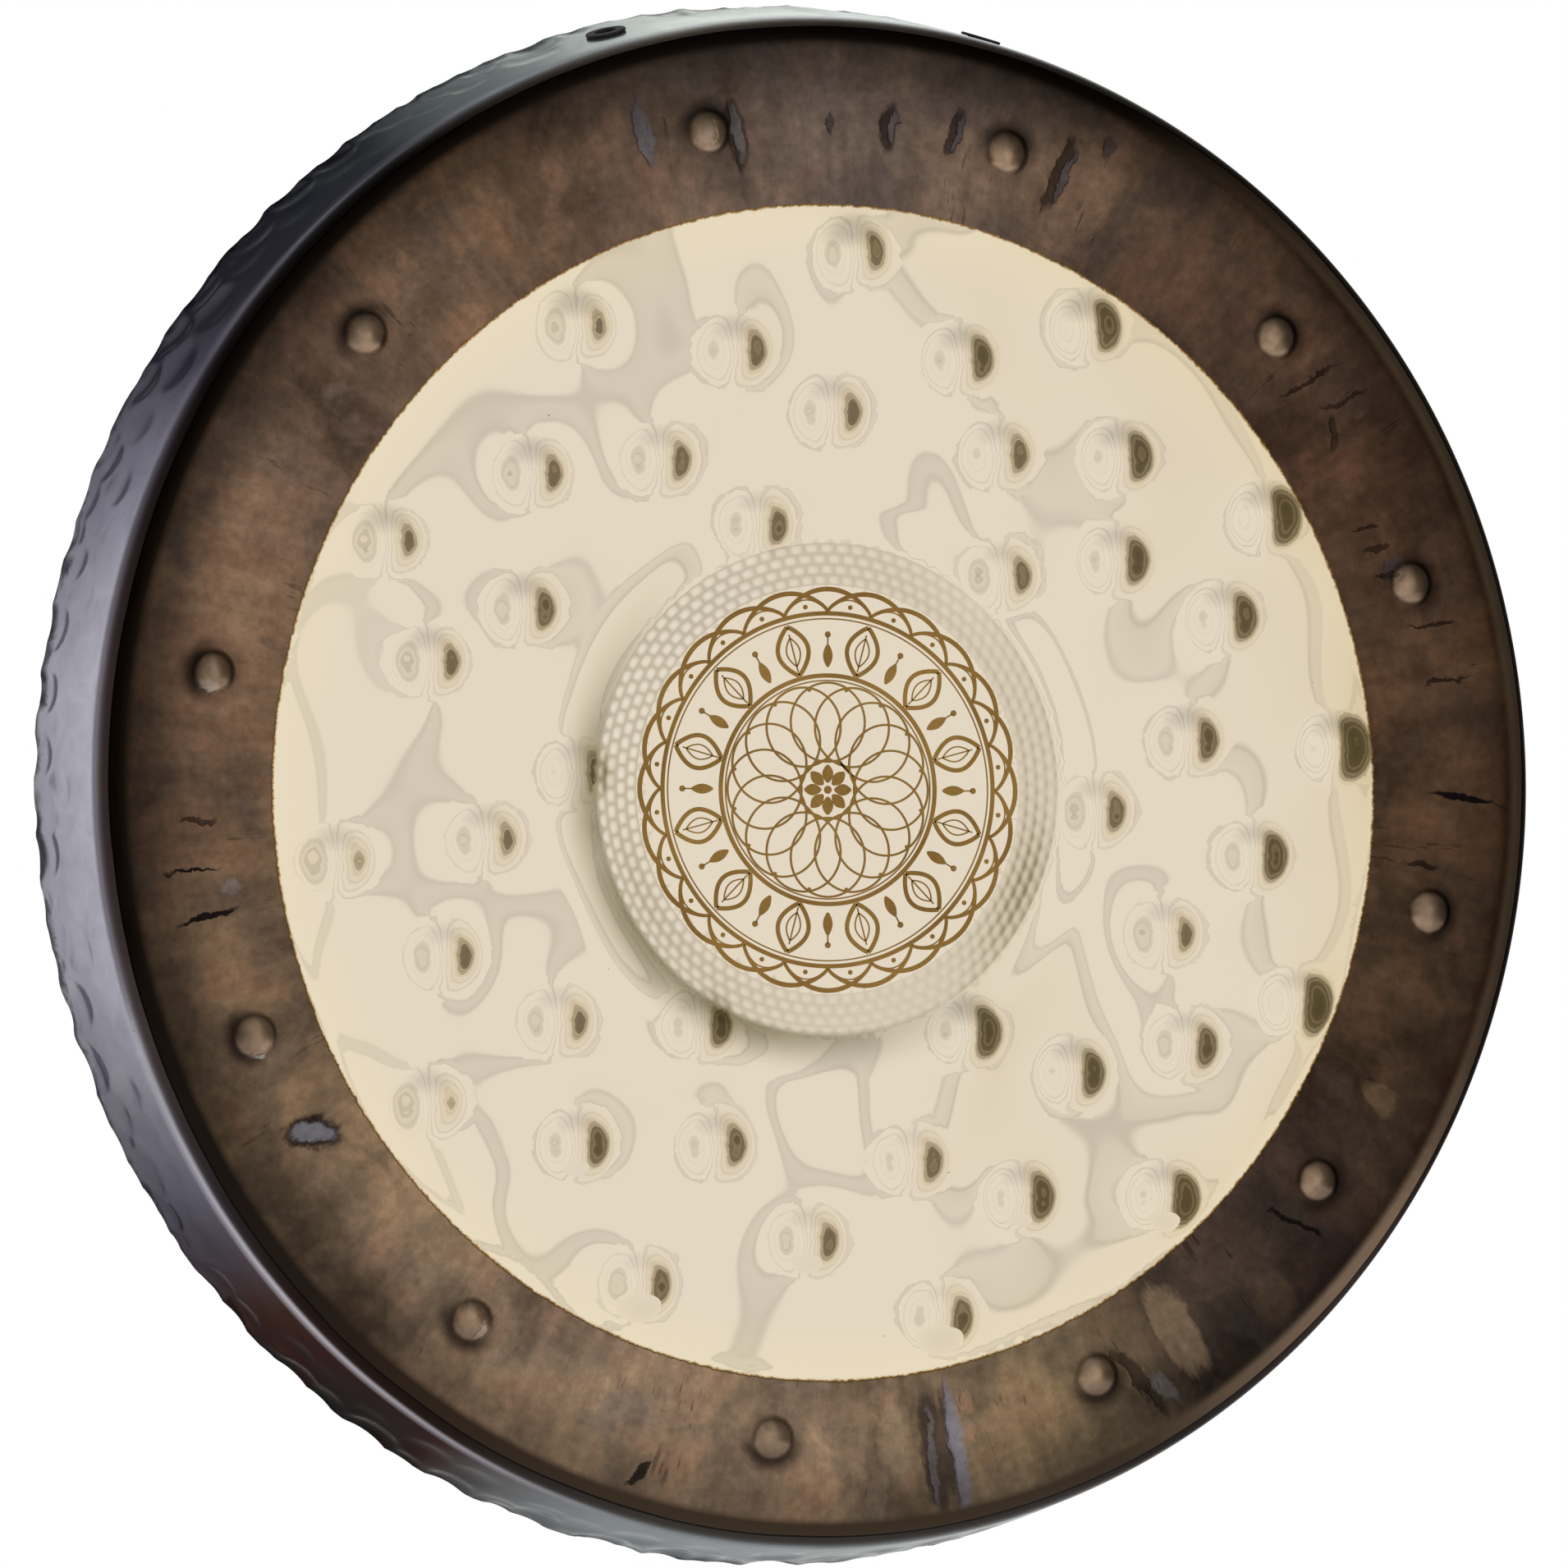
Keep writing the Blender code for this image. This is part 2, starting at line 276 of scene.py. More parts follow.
def faceDepth(x, z):
    # how far the front surface lies behind the plane of the polished face, before the bosses are driven
    r = np.hypot(x, z)
    fromDisc = np.hypot(x - discX, z - discZ)
    outwards = np.clip(r - gong["discRadius"], 0, None) / (polishRadius - gong["discRadius"])
    dome = outwards ** 2
    edge = gong["edgeDrop"] * np.clip(outwards, 0, 1) ** 8
    domeAtBend = ((faceRadius - gong["discRadius"]) / (polishRadius - gong["discRadius"])) ** 2
    rollDrop = bandFall - gong["domeDrop"] * domeAtBend - gong["edgeDrop"]
    slopeLeft = math.tan(tilt) - 2 * gong["domeDrop"] * domeAtBend / (faceRadius - gong["discRadius"])
    rollPower = slopeLeft * gong["rollWidth"] / rollDrop
    roll = np.clip((r - faceRadius) / gong["rollWidth"] + 1, 0, None) ** rollPower
    flank = ease((fromDisc - gong["discRadius"]) / gong["flankWidth"])
    moat = gong["moatSink"] * (1 - smooth((fromDisc - footRadius) / gong["moatReach"]))
    disc = gong["discRise"] * (1 - flank) - moat * flank
    pulled = np.zeros_like(r)
    for bossX, bossZ in bosses:
        pulled += gong["skirtRise"] / (1 + ((x - bossX) ** 2 + (z - bossZ) ** 2) / gong["skirtReach"] ** 2)
    for markX, markZ, reach, height in marks:
        pulled += height * np.exp(-((x - markX) ** 2 + (z - markZ) ** 2) / reach ** 2)
    over = np.clip(pulled - gong["pullKnee"], 0, None)
    pulled = np.minimum(pulled, gong["pullKnee"]) + gong["pullRoom"] * np.tanh(over / gong["pullRoom"])
    loose = 1 - smooth((r - polishRadius) / (0.8 * gong["bandWidth"]))
    loose *= smooth((fromDisc - gong["discRadius"]) / gong["flankWidth"])
    return gong["domeDrop"] * dome + edge + rollDrop * roll - disc - loose * (pulled - gong["settled"])


def wallDistance(angleA, depthA, angleB, depthB):
    turn = (angleA - angleB + 180) % 360 - 180
    return np.hypot(gong["rimRadius"] * np.radians(turn), depthA - depthB)


def wallDents():
    # the same seeded hammer marks as the CAD rim has: angle, depth, radius and sink
    rng = random.Random(gong["dentSeed"])
    facet = 2 * math.pi * gong["rimRadius"] / gong["rimSteps"]
    keep = gong["dentRadius"] + gong["holeRadius"] + gong["flangeLip"] + facet
    firstRow = gong["rimDepth"] - gong["dentInset"]
    dents = []
    for row in range(gong["dentRows"]):
        for mark in range(gong["dentsPerRow"]):
            angle = 360 * (mark + row / 2 + rng.uniform(-0.3, 0.3)) / gong["dentsPerRow"]
            deep = firstRow - gong["dentRowPitch"] * (row + rng.uniform(-0.25, 0.25))
            radius = gong["dentRadius"] * rng.uniform(0.75, 1.0)
            sink = gong["dentSink"] * gong["dentDeepen"] * rng.uniform(0.35, 1.0) / (1 + row)
            holes = (-gong["holeAngle"], gong["holeAngle"])
            if all(wallDistance(angle, deep, hole, holeDepth) > keep for hole in holes):
                dents.append((angle, deep, radius, sink))
    rng = random.Random(gong["edgeSeed"])
    for mark in range(gong["edgeDents"]):
        angle = 360 * (mark + rng.uniform(-0.35, 0.35)) / gong["edgeDents"]
        deep = gong["rimDepth"] - rng.uniform(0.0, 0.007)
        dents.append((angle, deep, rng.uniform(*gong["edgeDentRadius"]), rng.uniform(*gong["edgeDentSink"])))
    return dents


# How finely the blank is divided, in steps or, for pitches and the patch's radius, in metres
facets = {
    "rimColumns": 1000,
    "bendRows": 10,
    "wallRows": 20,
    "innerColumns": 500,
    "innerBendRows": 6,
    "innerWallRows": 10,
    "beadColumns": 6,  # to one bead
    "beadSteps": 5,  # rows to one bead
    "pitch": 0.0042,
    "backPitch": 0.009,
    "discPitch": 0.008,
    "patchRadius": 0.0220,
    "patchSides": 30,
    "patchRings": 13,
    "backPatchSides": 14,
    "backPatchRings": 6,
}


def honeycomb(pitch, reach):
    rows = int(reach / (pitch * 0.866)) + 1
    points = []
    for row in range(-rows, rows + 1):
        shift = pitch / 2 if row % 2 else 0.0
        for column in range(-rows, rows + 1):
            points.append((column * pitch + shift, row * pitch * 0.866))
    return np.array(points)


def bossPatches(sides, rings):
    # points round and on every boss, closer together than the rest
    points = [bosses]
    for step in range(1, rings + 1):
        radius = facets["patchRadius"] * step / rings
        count = sides if 3 * step > rings else sides // 2
        for boss in bosses:
            points.append(ring(radius, count, boss, start=180 * step / count))
    return np.concatenate(points)


def fillPatch(outline, hole, inside):
    # triangles between two closed outlines, through the points inside
    points = np.concatenate([outline, hole, inside]) if len(hole) else np.concatenate([outline, inside])
    edges = [(i, (i + 1) % len(outline)) for i in range(len(outline))]
    first = len(outline)
    edges += [(first + i, first + (i + 1) % len(hole)) for i in range(len(hole))]
    placed, _, faces, *_ = delaunay_2d_cdt([Vector(p) for p in points.tolist()], edges, [], 0, 1e-7, False)
    last = first + len(hole)
    faces = [face for face in faces if not all(first <= i < last for i in face)]
    return np.array([tuple(p) for p in placed]), faces


def sectionPoints(radius, bendRows, wallRows):
    # half section of one side of the sheet, from the face round the bend to the back edge
    turn = np.linspace(tilt, math.pi / 2 - flare, bendRows + 1)
    r = bendCentre + radius * np.sin(turn)
    depth = bendDepth - radius * np.cos(turn)
    rise = (gong["rimDepth"] - depth[-1]) * (np.arange(1, wallRows + 1) / wallRows) ** 0.8
    return np.concatenate([r, r[-1] + rise * math.tan(flare)]), np.concatenate([depth, depth[-1] + rise])


def rimRings(radius, columns, bendRows, wallRows, dents):
    r, depth = sectionPoints(radius, bendRows, wallRows)
    angle = -360 * np.arange(columns) / columns
    r, angle = np.meshgrid(r, angle, indexing="ij")
    depth = np.repeat(depth[:, None], columns, axis=1)
    sunk = np.zeros_like(r)
    for at, deep, size, sink in dents:
        share = np.clip(1 - (wallDistance(angle, depth, at, deep) / size) ** 2, 0, None)
        sunk = np.maximum(sunk, sink * share ** 0.9)
    flat = clockPoint(r - sunk, angle)
    return np.stack([flat[..., 0], depth, flat[..., 1]], axis=-1)


def forgeBlank():
    # the sheet with its disc, bend and wall, closed all round, but with no bosses, beads or holes yet
    verts, faces, backs, fronts = [], [], [], []

    def addPart(points, corners, back, front=0.0):
        base = len(verts)
        verts.extend(map(tuple, points))
        fronts.extend([front] * len(points))
        faces.extend([tuple(base + i for i in corner) for corner in corners])
        backs.extend([back] * len(corners))

    def quads(count):
        # between two closed rows of count points
        return [(i, count + i, count + (i + 1) % count, (i + 1) % count) for i in range(count)]

    def atDepth(flat, thickness=0.0):
        depth = faceDepth(flat[:, 0], flat[:, 1]) + thickness
        return np.stack([flat[:, 0], depth, flat[:, 1]], axis=-1)

    aroundDisc = gong["beadsPerRow"] * facets["beadColumns"]
    centre = gong["discCentre"]
    discTop = ring(gong["discRadius"], aroundDisc, centre)
    discFoot = ring(footRadius, aroundDisc, centre)
    hexes = honeycomb(facets["discPitch"], gong["discRadius"]) + np.array(centre)
    hexes = hexes[np.hypot(*(hexes - centre).T) < gong["discRadius"] - facets["discPitch"] / 2]
    flat, corners = fillPatch(discTop, [], hexes)
    addPart(atDepth(flat), corners, 0, 1.0)

    rows = gong["beadRows"] * facets["beadSteps"]
    for row in range(rows):
        near = ring(gong["discRadius"] + gong["flankWidth"] * row / rows, aroundDisc, centre)
        far = ring(gong["discRadius"] + gong["flankWidth"] * (row + 1) / rows, aroundDisc, centre)
        addPart(atDepth(np.concatenate([near, far])), quads(aroundDisc), 0, 1.0)

    def faceField(pitch, sides, rings, margin):
        patches = bossPatches(sides, rings)
        field = honeycomb(pitch, faceRadius)
        away = np.min(np.hypot(field[:, None, 0] - bosses[:, 0], field[:, None, 1] - bosses[:, 1]), axis=1)
        field = field[away > facets["patchRadius"] + pitch / 2]
        points = np.concatenate([patches, field])
        fromDisc = np.hypot(points[:, 0] - discX, points[:, 1] - discZ)
        inside = np.hypot(points[:, 0], points[:, 1]) < faceRadius - pitch / 2
        return points[inside & (fromDisc > footRadius + margin)]

    face = faceField(facets["pitch"], facets["patchSides"], facets["patchRings"], 0.0012)
    flat, corners = fillPatch(ring(faceRadius, facets["rimColumns"]), discFoot, face)
    addPart(atDepth(flat), corners, 0, 1.0)

    backRadius = bendCentre + (gong["bendRadius"] - gong["sheet"]) * math.sin(tilt)
    backField = faceField(facets["backPitch"], facets["backPatchSides"], facets["backPatchRings"], 0.003)
    around = facets["innerColumns"] // 2
    flank = []
    for step in range(5):
        flank.append(ring(gong["discRadius"] + gong["flankWidth"] * step / 4, around, centre, start=step))
    backDisc = hexes[::3] + np.array([0.0003, 0.0002])
    inside = np.concatenate([backField[np.hypot(*backField.T) < backRadius - 0.004], *flank, backDisc])
    flat, corners = fillPatch(ring(backRadius, facets["innerColumns"]), [], inside)
    addPart(atDepth(flat, gong["sheet"]), [corner[::-1] for corner in corners], 1)

    dents = wallDents()
    outer = rimRings(gong["bendRadius"], facets["rimColumns"], facets["bendRows"], facets["wallRows"], dents)
    inner = rimRings(
        gong["bendRadius"] - gong["sheet"], facets["innerColumns"], facets["innerBendRows"],
        facets["innerWallRows"], dents,
    )
    for rings, back in ((outer, 0), (inner, 1)):
        for near, far in zip(rings, rings[1:]):
            addPart(np.concatenate([near, far]), quads(rings.shape[1]), back)
    count, half = facets["rimColumns"], facets["innerColumns"]
    corners = []
    for i in range(half):
        a, b, c = 2 * i, 2 * i + 1, (2 * i + 2) % count
        d, e = count + i, count + (i + 1) % half
        corners += [(a, d, b), (b, d, e), (b, e, c)]
    addPart(np.concatenate([outer[-1], inner[-1]]), corners, 0)

    blank = bpy.data.meshes.new("blank")
    blank.from_pydata(verts, [], faces)
    blank.attributes.new("backSide", "FLOAT", "FACE").data.foreach_set("value", backs)
    blank.attributes.new("frontFace", "FLOAT", "POINT").data.foreach_set("value", fronts)
    bm = bmesh.new()
    bm.from_mesh(blank)
    bmesh.ops.remove_doubles(bm, verts=bm.verts, dist=0.00002)
    bmesh.ops.recalc_face_normals(bm, faces=bm.faces)
    open_ = sum(len(edge.link_faces) != 2 for edge in bm.edges)
    bm.to_mesh(blank)
    bm.free()
    print("blank:", len(blank.polygons), "faces,", open_, "open edges")
    return newPiece("gongSheet", blank)


def bossPointCloud():
    # one loose point for each boss, told apart by where it stands
    cloud = bpy.data.meshes.new("bossPoints")
    cloud.from_pydata([(x, 0.0, z) for x, z in bosses], [], [])
    onBand = [1.0] * len(darkBosses) + [0.0] * len(faceBosses)
    cloud.attributes.new("onBand", "FLOAT", "POINT").data.foreach_set("value", onBand)
    rng = random.Random(gong["vigourSeed"])
    spread = gong["vigour"]
    vigour = [1 + 0.5 * rng.uniform(-spread, spread) for _ in darkBosses]
    vigour += [1 + spread * (x - 0.5 + rng.uniform(-0.4, 0.4)) for x, _ in faceBosses]
    cloud.attributes.new("vigour", "FLOAT", "POINT").data.foreach_set("value", vigour)
    return newPiece("bossPoints", cloud)


def wallFrame(angle):
    # a frame in the middle of the sheet at a cord hole, with Z straight out through the wall
    x, z = clockPoint(wallAtHole - gong["sheet"] / (2 * math.cos(flare)), angle)
    around = Matrix.Rotation(math.radians(angle), 4, "Y")
    return Matrix.Translation((x, holeDepth, z)) @ around @ Matrix.Rotation(flare, 4, "X")


def holeCutters():
    bm = bmesh.new()
    for angle in (-gong["holeAngle"], gong["holeAngle"]):
        bmesh.ops.create_cone(
            bm, cap_ends=True, segments=48, radius1=gong["holeRadius"], radius2=gong["holeRadius"],
            depth=8 * gong["sheet"], matrix=wallFrame(angle),
        )
    return newPiece("holeCutters", newMesh(bm, "holeCutters"))


def forgeMarksTree():
    # drives the bosses out of the sheet, chases the staggered beads round the disc and cuts the cord holes
    tree, add = newGroup(
        "forgeMarks", Object=["Boss Points", "Hole Cutters"], Material=["Front Material", "Back Material"],
        Float=[
            "Face Boss Radius", "Face Boss Rise", "Dark Boss Radius", "Dark Boss Rise", "Disc Radius",
            "Flank Width", "Bead Rows", "Beads Per Row", "Bead Rise",
        ],
    )
    given = add("NodeGroupInput").outputs

    # distance from each vertex to the nearest boss, measured flat on the face
    place = add("GeometryNodeInputPosition")
    flat = add("VectorMath MULTIPLY", place, (1.0, 0.0, 1.0))
    cloud = add(
        "GeometryNodeObjectInfo", given["Boss Points"], transform_space="ORIGINAL"
    ).outputs["Geometry"]
    nearest = add("GeometryNodeSampleNearest", cloud, flat)
    bossPlace = add("GeometryNodeSampleIndex", cloud, place, nearest, data_type="FLOAT_VECTOR")
    onBand = add("GeometryNodeInputNamedAttribute", "onBand", data_type="FLOAT")
    onBand = add("GeometryNodeSampleIndex", cloud, onBand, nearest)
    vigour = add("GeometryNodeInputNamedAttribute", "vigour", data_type="FLOAT")
    vigour = add("GeometryNodeSampleIndex", cloud, vigour, nearest)
    away = add("VectorMath DISTANCE", flat, bossPlace)

    # a bell with no crease at its foot on the face, and a fuller dome where onBand is 1
    radius = add("Mix", onBand, given["Face Boss Radius"], given["Dark Boss Radius"])
    rise = add("Mix", onBand, given["Face Boss Rise"], given["Dark Boss Rise"])
    power = add("Mix", onBand, 2.0, 0.8)
    share = add("Math DIVIDE", away, radius, use_clamp=True)
    squared = add("Math MULTIPLY", share, share)
    under = add("Math SUBTRACT", 1.0, squared)
    bell = add("Math POWER", under, power)
    boss = add("Math MULTIPLY", bell, rise)
    boss = add("Math MULTIPLY", boss, vigour)

    # place of each vertex in the bead rows: row number and how far along and across its bead
    fromDisc = add("VectorMath SUBTRACT", flat, (discX, 0.0, discZ))
    reach = add("VectorMath LENGTH", fromDisc)
    past = add("Math SUBTRACT", reach, given["Disc Radius"])
    past = add("Math DIVIDE", past, given["Flank Width"])
    rowPlace = add("Math MULTIPLY", past, given["Bead Rows"])
    row = add("Math FLOOR", rowPlace)
    odd = add("Math FLOORED_MODULO", row, 2.0)
    split = add("SeparateXYZ", fromDisc)
    turn = add("Math ARCTAN2", split.outputs["X"], split.outputs["Z"])
    turns = add("Math DIVIDE", turn, 2 * math.pi)
    column = add("Math MULTIPLY", turns, given["Beads Per Row"])
    column = add("Math MULTIPLY_ADD", odd, 0.5, column)
    lumps = []
    for along in (column, rowPlace):
        part = add("Math FRACT", along)
        wave = add("Math MULTIPLY", part, math.pi)
        lumps.append(add("Math SINE", wave))
    lump = add("Math MULTIPLY", lumps[0], lumps[1])
    lump = add("Math POWER", lump, 0.85)
    onFlank = add("Math COMPARE", past, 0.5, 0.501)
    front = add("GeometryNodeInputNamedAttribute", "frontFace", data_type="FLOAT")
    beads = add("Math MULTIPLY", lump, onFlank)
    beads = add("Math MULTIPLY", beads, front)
    bead = add("Math MULTIPLY", beads, given["Bead Rise"])

    proud = add("Math ADD", boss, bead)
    back = add("Math MULTIPLY", proud, -1.0)
    offset = add("CombineXYZ", 0.0, back)
    kept = add("GeometryNodeSetPosition", inputs={"Geometry": given["Geometry"], "Offset": offset})
    offset = add("VectorMath SUBTRACT", flat, bossPlace)
    for name, value, kind in (
        ("beadShare", beads, "FLOAT"), ("bossAway", away, "FLOAT"), ("bossOffset", offset, "FLOAT_VECTOR"),
    ):
        kept = add(
            "GeometryNodeStoreNamedAttribute", inputs={"Geometry": kept, "Name": name, "Value": value},
            data_type=kind,
        )
    cutters = add(
        "GeometryNodeObjectInfo", given["Hole Cutters"], transform_space="ORIGINAL"
    ).outputs["Geometry"]
    cut = add("GeometryNodeMeshBoolean", kept, cutters, operation="DIFFERENCE")
    whole = add("GeometryNodeRealizeInstances", cut)
    backSide = add("GeometryNodeInputNamedAttribute", "backSide", data_type="FLOAT")
    painted = add("GeometryNodeSetMaterial", inputs={"Geometry": whole, "Material": given["Front Material"]})
    painted = add(
        "GeometryNodeSetMaterial",
        inputs={"Geometry": painted, "Selection": backSide, "Material": given["Back Material"]},
    )
    add("NodeGroupOutput", painted)
    return tree


# The surface of the struck side: mirror-polished inside, heat-darkened outside
finish = {
    "polishTone": "#E6D9C4",
    "polishWarm": "#EEDFBC",
    "edgeLine": "#9A7234",
    "polishRoughness": 0.02,
    "bandShades": ("#67625F", "#8D8988", "#BBB1A6"),  # dark, usual and light share of the band's tone
    "redShare": "#978480",
    "greyShare": "#93939A",
    "bandTilted": "#3D3023",
    "bandRight": "#8A7460",
    "bendTone": "#1D1510",
    "bandGain": 3.9,
    "bossTone": "#BCA086",
    "footShadeTone": "#8F8568",
    "beadShadeTone": "#C2B8A2",
    "beadHighlightTone": "#F7EEDC",
    "lineTone": "#0B0706",
    "glintTone": "#CFCBD4",
    "bossShadeTone": "#0E0906",
    "scorchTone": "#262024",
    "brownShare": "#7D6E67",
    "pitTone": "#4A3B26",
    "ragged": 0.0016,  # metres that the buff's edge wanders by
    "burntLine": (0.0016, 0.0003),  # the golden line inside it
    "bendLine": (0.0105, 0.0004),  # depth and half width of the line on the bend
    "lineWobble": 0.0016,
    "tornBy": 0.011,  # metres that the scars are pulled about
    "radialStretch": 0.14,  # the polar noises are this much coarser along the radius
    "footShadeReach": 0.022,
    "bumpDepth": 0.0004,
    "backBumpDepth": 0.0020,
}
# Tones round the dark band and round the wall, from the bottom through the left, the top and the right
bandTones = (
    (0.0, "#9A856E"), (0.083, "#8C7B68"), (0.167, "#796753"), (0.25, "#635244"), (0.333, "#776455"),
    (0.417, "#78624F"), (0.5, "#77695F"), (0.583, "#5C4C40"), (0.667, "#5E4839"), (0.75, "#534132"),
    (0.82, "#544435"), (0.86, "#413630"), (0.905, "#493F37"), (0.935, "#7B6D56"),
)
# Round the wall the tones are painted reflections of the studio over the metal's heat tint
wallTones = (
    (0.00, "#6C7476"), (0.04, "#747D7F"), (0.062, "#5E6062"), (0.085, "#43342E"), (0.10, "#3E2C24"),
    (0.13, "#4B3C38"), (0.155, "#5E5C66"), (0.18, "#84848D"), (0.21, "#B5B4BB"), (0.27, "#BCBBC1"),
    (0.31, "#8A8892"), (0.34, "#55545C"), (0.40, "#44474A"), (0.44, "#A9AFAE"), (0.47, "#E6E8E4"),
    (0.52, "#E2E4E0"), (0.56, "#B4B4B0"), (0.60, "#7E8078"), (0.75, "#67606A"), (0.90, "#4A3B32"),
)
# How strongly the painted highlight along the line where the wall leaves the bend shows, round the wall
glints = (
    (0.04, 0.15), (0.08, 0.5), (0.13, 0.8), (0.17, 0.6), (0.21, 0.2), (0.30, 0.0), (0.36, 0.1), (0.42, 0.25),
    (0.46, 0.6), (0.54, 0.6), (0.60, 0.1), (1.0, 0.05),
)
# Scars of the forging on the dark band, and painted highlights on three dark bosses: clock angle, radius,
# length along it and width in millimetres, turn, tone, strength
scarsAndHighlights = (
    (237, 0.337, 42, 18, 33, "#1A1310", 0.9),
    (237, 0.337, 31, 11, 33, "#7C7980", 0.95),
    (260, 0.332, 12, 9, 0, "#918D8C", 0.4),
    (262, 0.352, 46, 3, 4, "#1B1314", 1.0),
    (258, 0.350, 34, 3, -6, "#1E1613", 1.0),
    (266, 0.345, 26, 4, 8, "#2A1E1A", 0.8),
    (343.3, 0.349, 40, 9, 0, "#6C6A72", 0.7),
    (351.8, 0.338, 34, 12, -5, "#2C2322", 0.7),
    (351.8, 0.338, 27, 7, -5, "#77706E", 0.8),
    (0.5, 0.342, 14, 5, 4, "#3A302F", 0.7),
    (6, 0.341, 24, 9, 5, "#231A18", 0.8),
    (6.3, 0.341, 17, 4, 5, "#6A5F61", 0.8),
    (12, 0.344, 26, 8, 12, "#2B2121", 0.8),
    (12.3, 0.344, 19, 4, 12, "#6A5F61", 0.7),
    (22.5, 0.343, 46, 10, 6, "#221A18", 0.8),
    (22.9, 0.343, 32, 5, 6, "#5E5456", 0.7),
    (25.5, 0.366, 12, 9, 0, "#4A4140", 0.7),
    (57, 0.337, 5, 18, 25, "#2C201B", 0.7),
    (70, 0.335, 14, 15, 0, "#4B454B", 0.6),
    (81, 0.350, 36, 3, 0, "#1A1210", 0.8),
    (91, 0.360, 46, 4, 8, "#120C0B", 1.0),
    (52, 0.342, 40, 3, 12, "#241814", 0.8),
    (55, 0.350, 34, 3, 14, "#241814", 0.7),
    (66, 0.330, 15, 3, 4, "#201512", 0.8),
    (68, 0.333, 18, 4, 2, "#241814", 0.75),
    (70.5, 0.331, 13, 3, -4, "#201512", 0.8),
    (76, 0.348, 30, 3, 6, "#1C1412", 0.8),
    (97, 0.335, 22, 3, 5, "#1A1310", 0.8),
    (118, 0.351, 26, 14, 20, "#7C6449", 0.5),
    (131, 0.345, 36, 3, -20, "#120D0B", 0.9),
    (137, 0.366, 34, 26, 30, "#76604C", 0.3),
    (145.5, 0.343, 54, 26, 0, "#A58C70", 0.55),
    (150.5, 0.354, 62, 8, -14, "#2A211B", 0.75),
    (149.0, 0.366, 24, 10, -20, "#77706E", 0.6),
    (173.5, 0.345, 54, 20, 0, "#A58E73", 0.5),
    (169.5, 0.354, 82, 24, 0, "#3A302B", 0.75),
    (170.3, 0.356, 60, 5, 4, "#7A7274", 0.7),
    (168.0, 0.354, 76, 13, 2, "#8C8790", 0.9),
    (166.5, 0.331, 14, 9, 0, "#A5826A", 0.7),
    (196, 0.372, 20, 5, 30, "#1C1512", 0.9),
    # painted highlights low on the dark bosses at 279, 247 and 215 degrees
    (277.7, 0.3431, 12, 5, 0, "#CFCAC4", 0.95),
    (245.3, 0.3443, 12, 5, 20, "#CFCAC4", 0.95),
    (213.7, 0.3441, 12, 5, 5, "#C9C4BC", 0.95),
    (349, 0.3400, 16, 9, 30, "#6C6870", 0.6),
)
# Where the zones of the skin begin and end, in metres
zones = {
    "bend": (0.0040, 0.0058),  # by depth
    "brown": (0.0104, 0.0110),
    "wall": (0.0120, 0.0218),
    "paintedGlint": (0.0160, 0.0260),
    "wallFade": (0.020, 0.082),
    "scorched": (0.094, 0.101),
    "warmPolish": (0.265, 0.305),  # by radius
    "bandFade": (0.338, 0.381),
    "wrinkleEnd": (0.379, 0.370),
    "outerSide": (-0.006, 0.010),  # by the distance from the middle of a boss
    # reach of the painted shade round a dark boss, and of its scuffed top with a painted highlight
    "sootAndShade": (0.021, 0.0115),
    "wornAndLitTop": (0.0132, 0.0108),
    "hollowShade": (0.020, 0.006),
    "discStepShade": (0.016, 0.003),  # by the distance from the middle of the disc's flank
}
# Noises of the struck side: name, size in millimetres, detail, roughness, distortion
noiseRows = (
    ("broad", 120, 5.0, 0.55, 0.0),
    ("patchy", 46, 6.0, 0.55, 0.8),
    ("fine", 5, 6.0, 0.6, 0.0),
    ("grain", 9, 5.0, 0.5, 0.0),
    ("wrinkle", 4.5, 3.0, 0.6, 0.0),
    ("cluster", 55, 2.0, 0.5, 0.0),
    ("tear", 11, 4.0, 0.65, 0.0),
    ("wobble", 60, 2.0, 0.5, 0.0),
    ("scale", 22, 6.0, 0.6, 0.8),
    ("teeth", 3.2, 4.0, 0.7, 0.0),
)
noises = {
    name: {"Scale": 1000 / size, "Detail": detail, "Roughness": roughness, "Distortion": distortion}
    for name, size, detail, roughness, distortion in noiseRows
}


def underGain(hexCode):
    # a tone painted on the band, before the band's gain brings it back to how it is written
    return tuple(channel / finish["bandGain"] for channel in linear(hexCode)[:3]) + (1.0,)


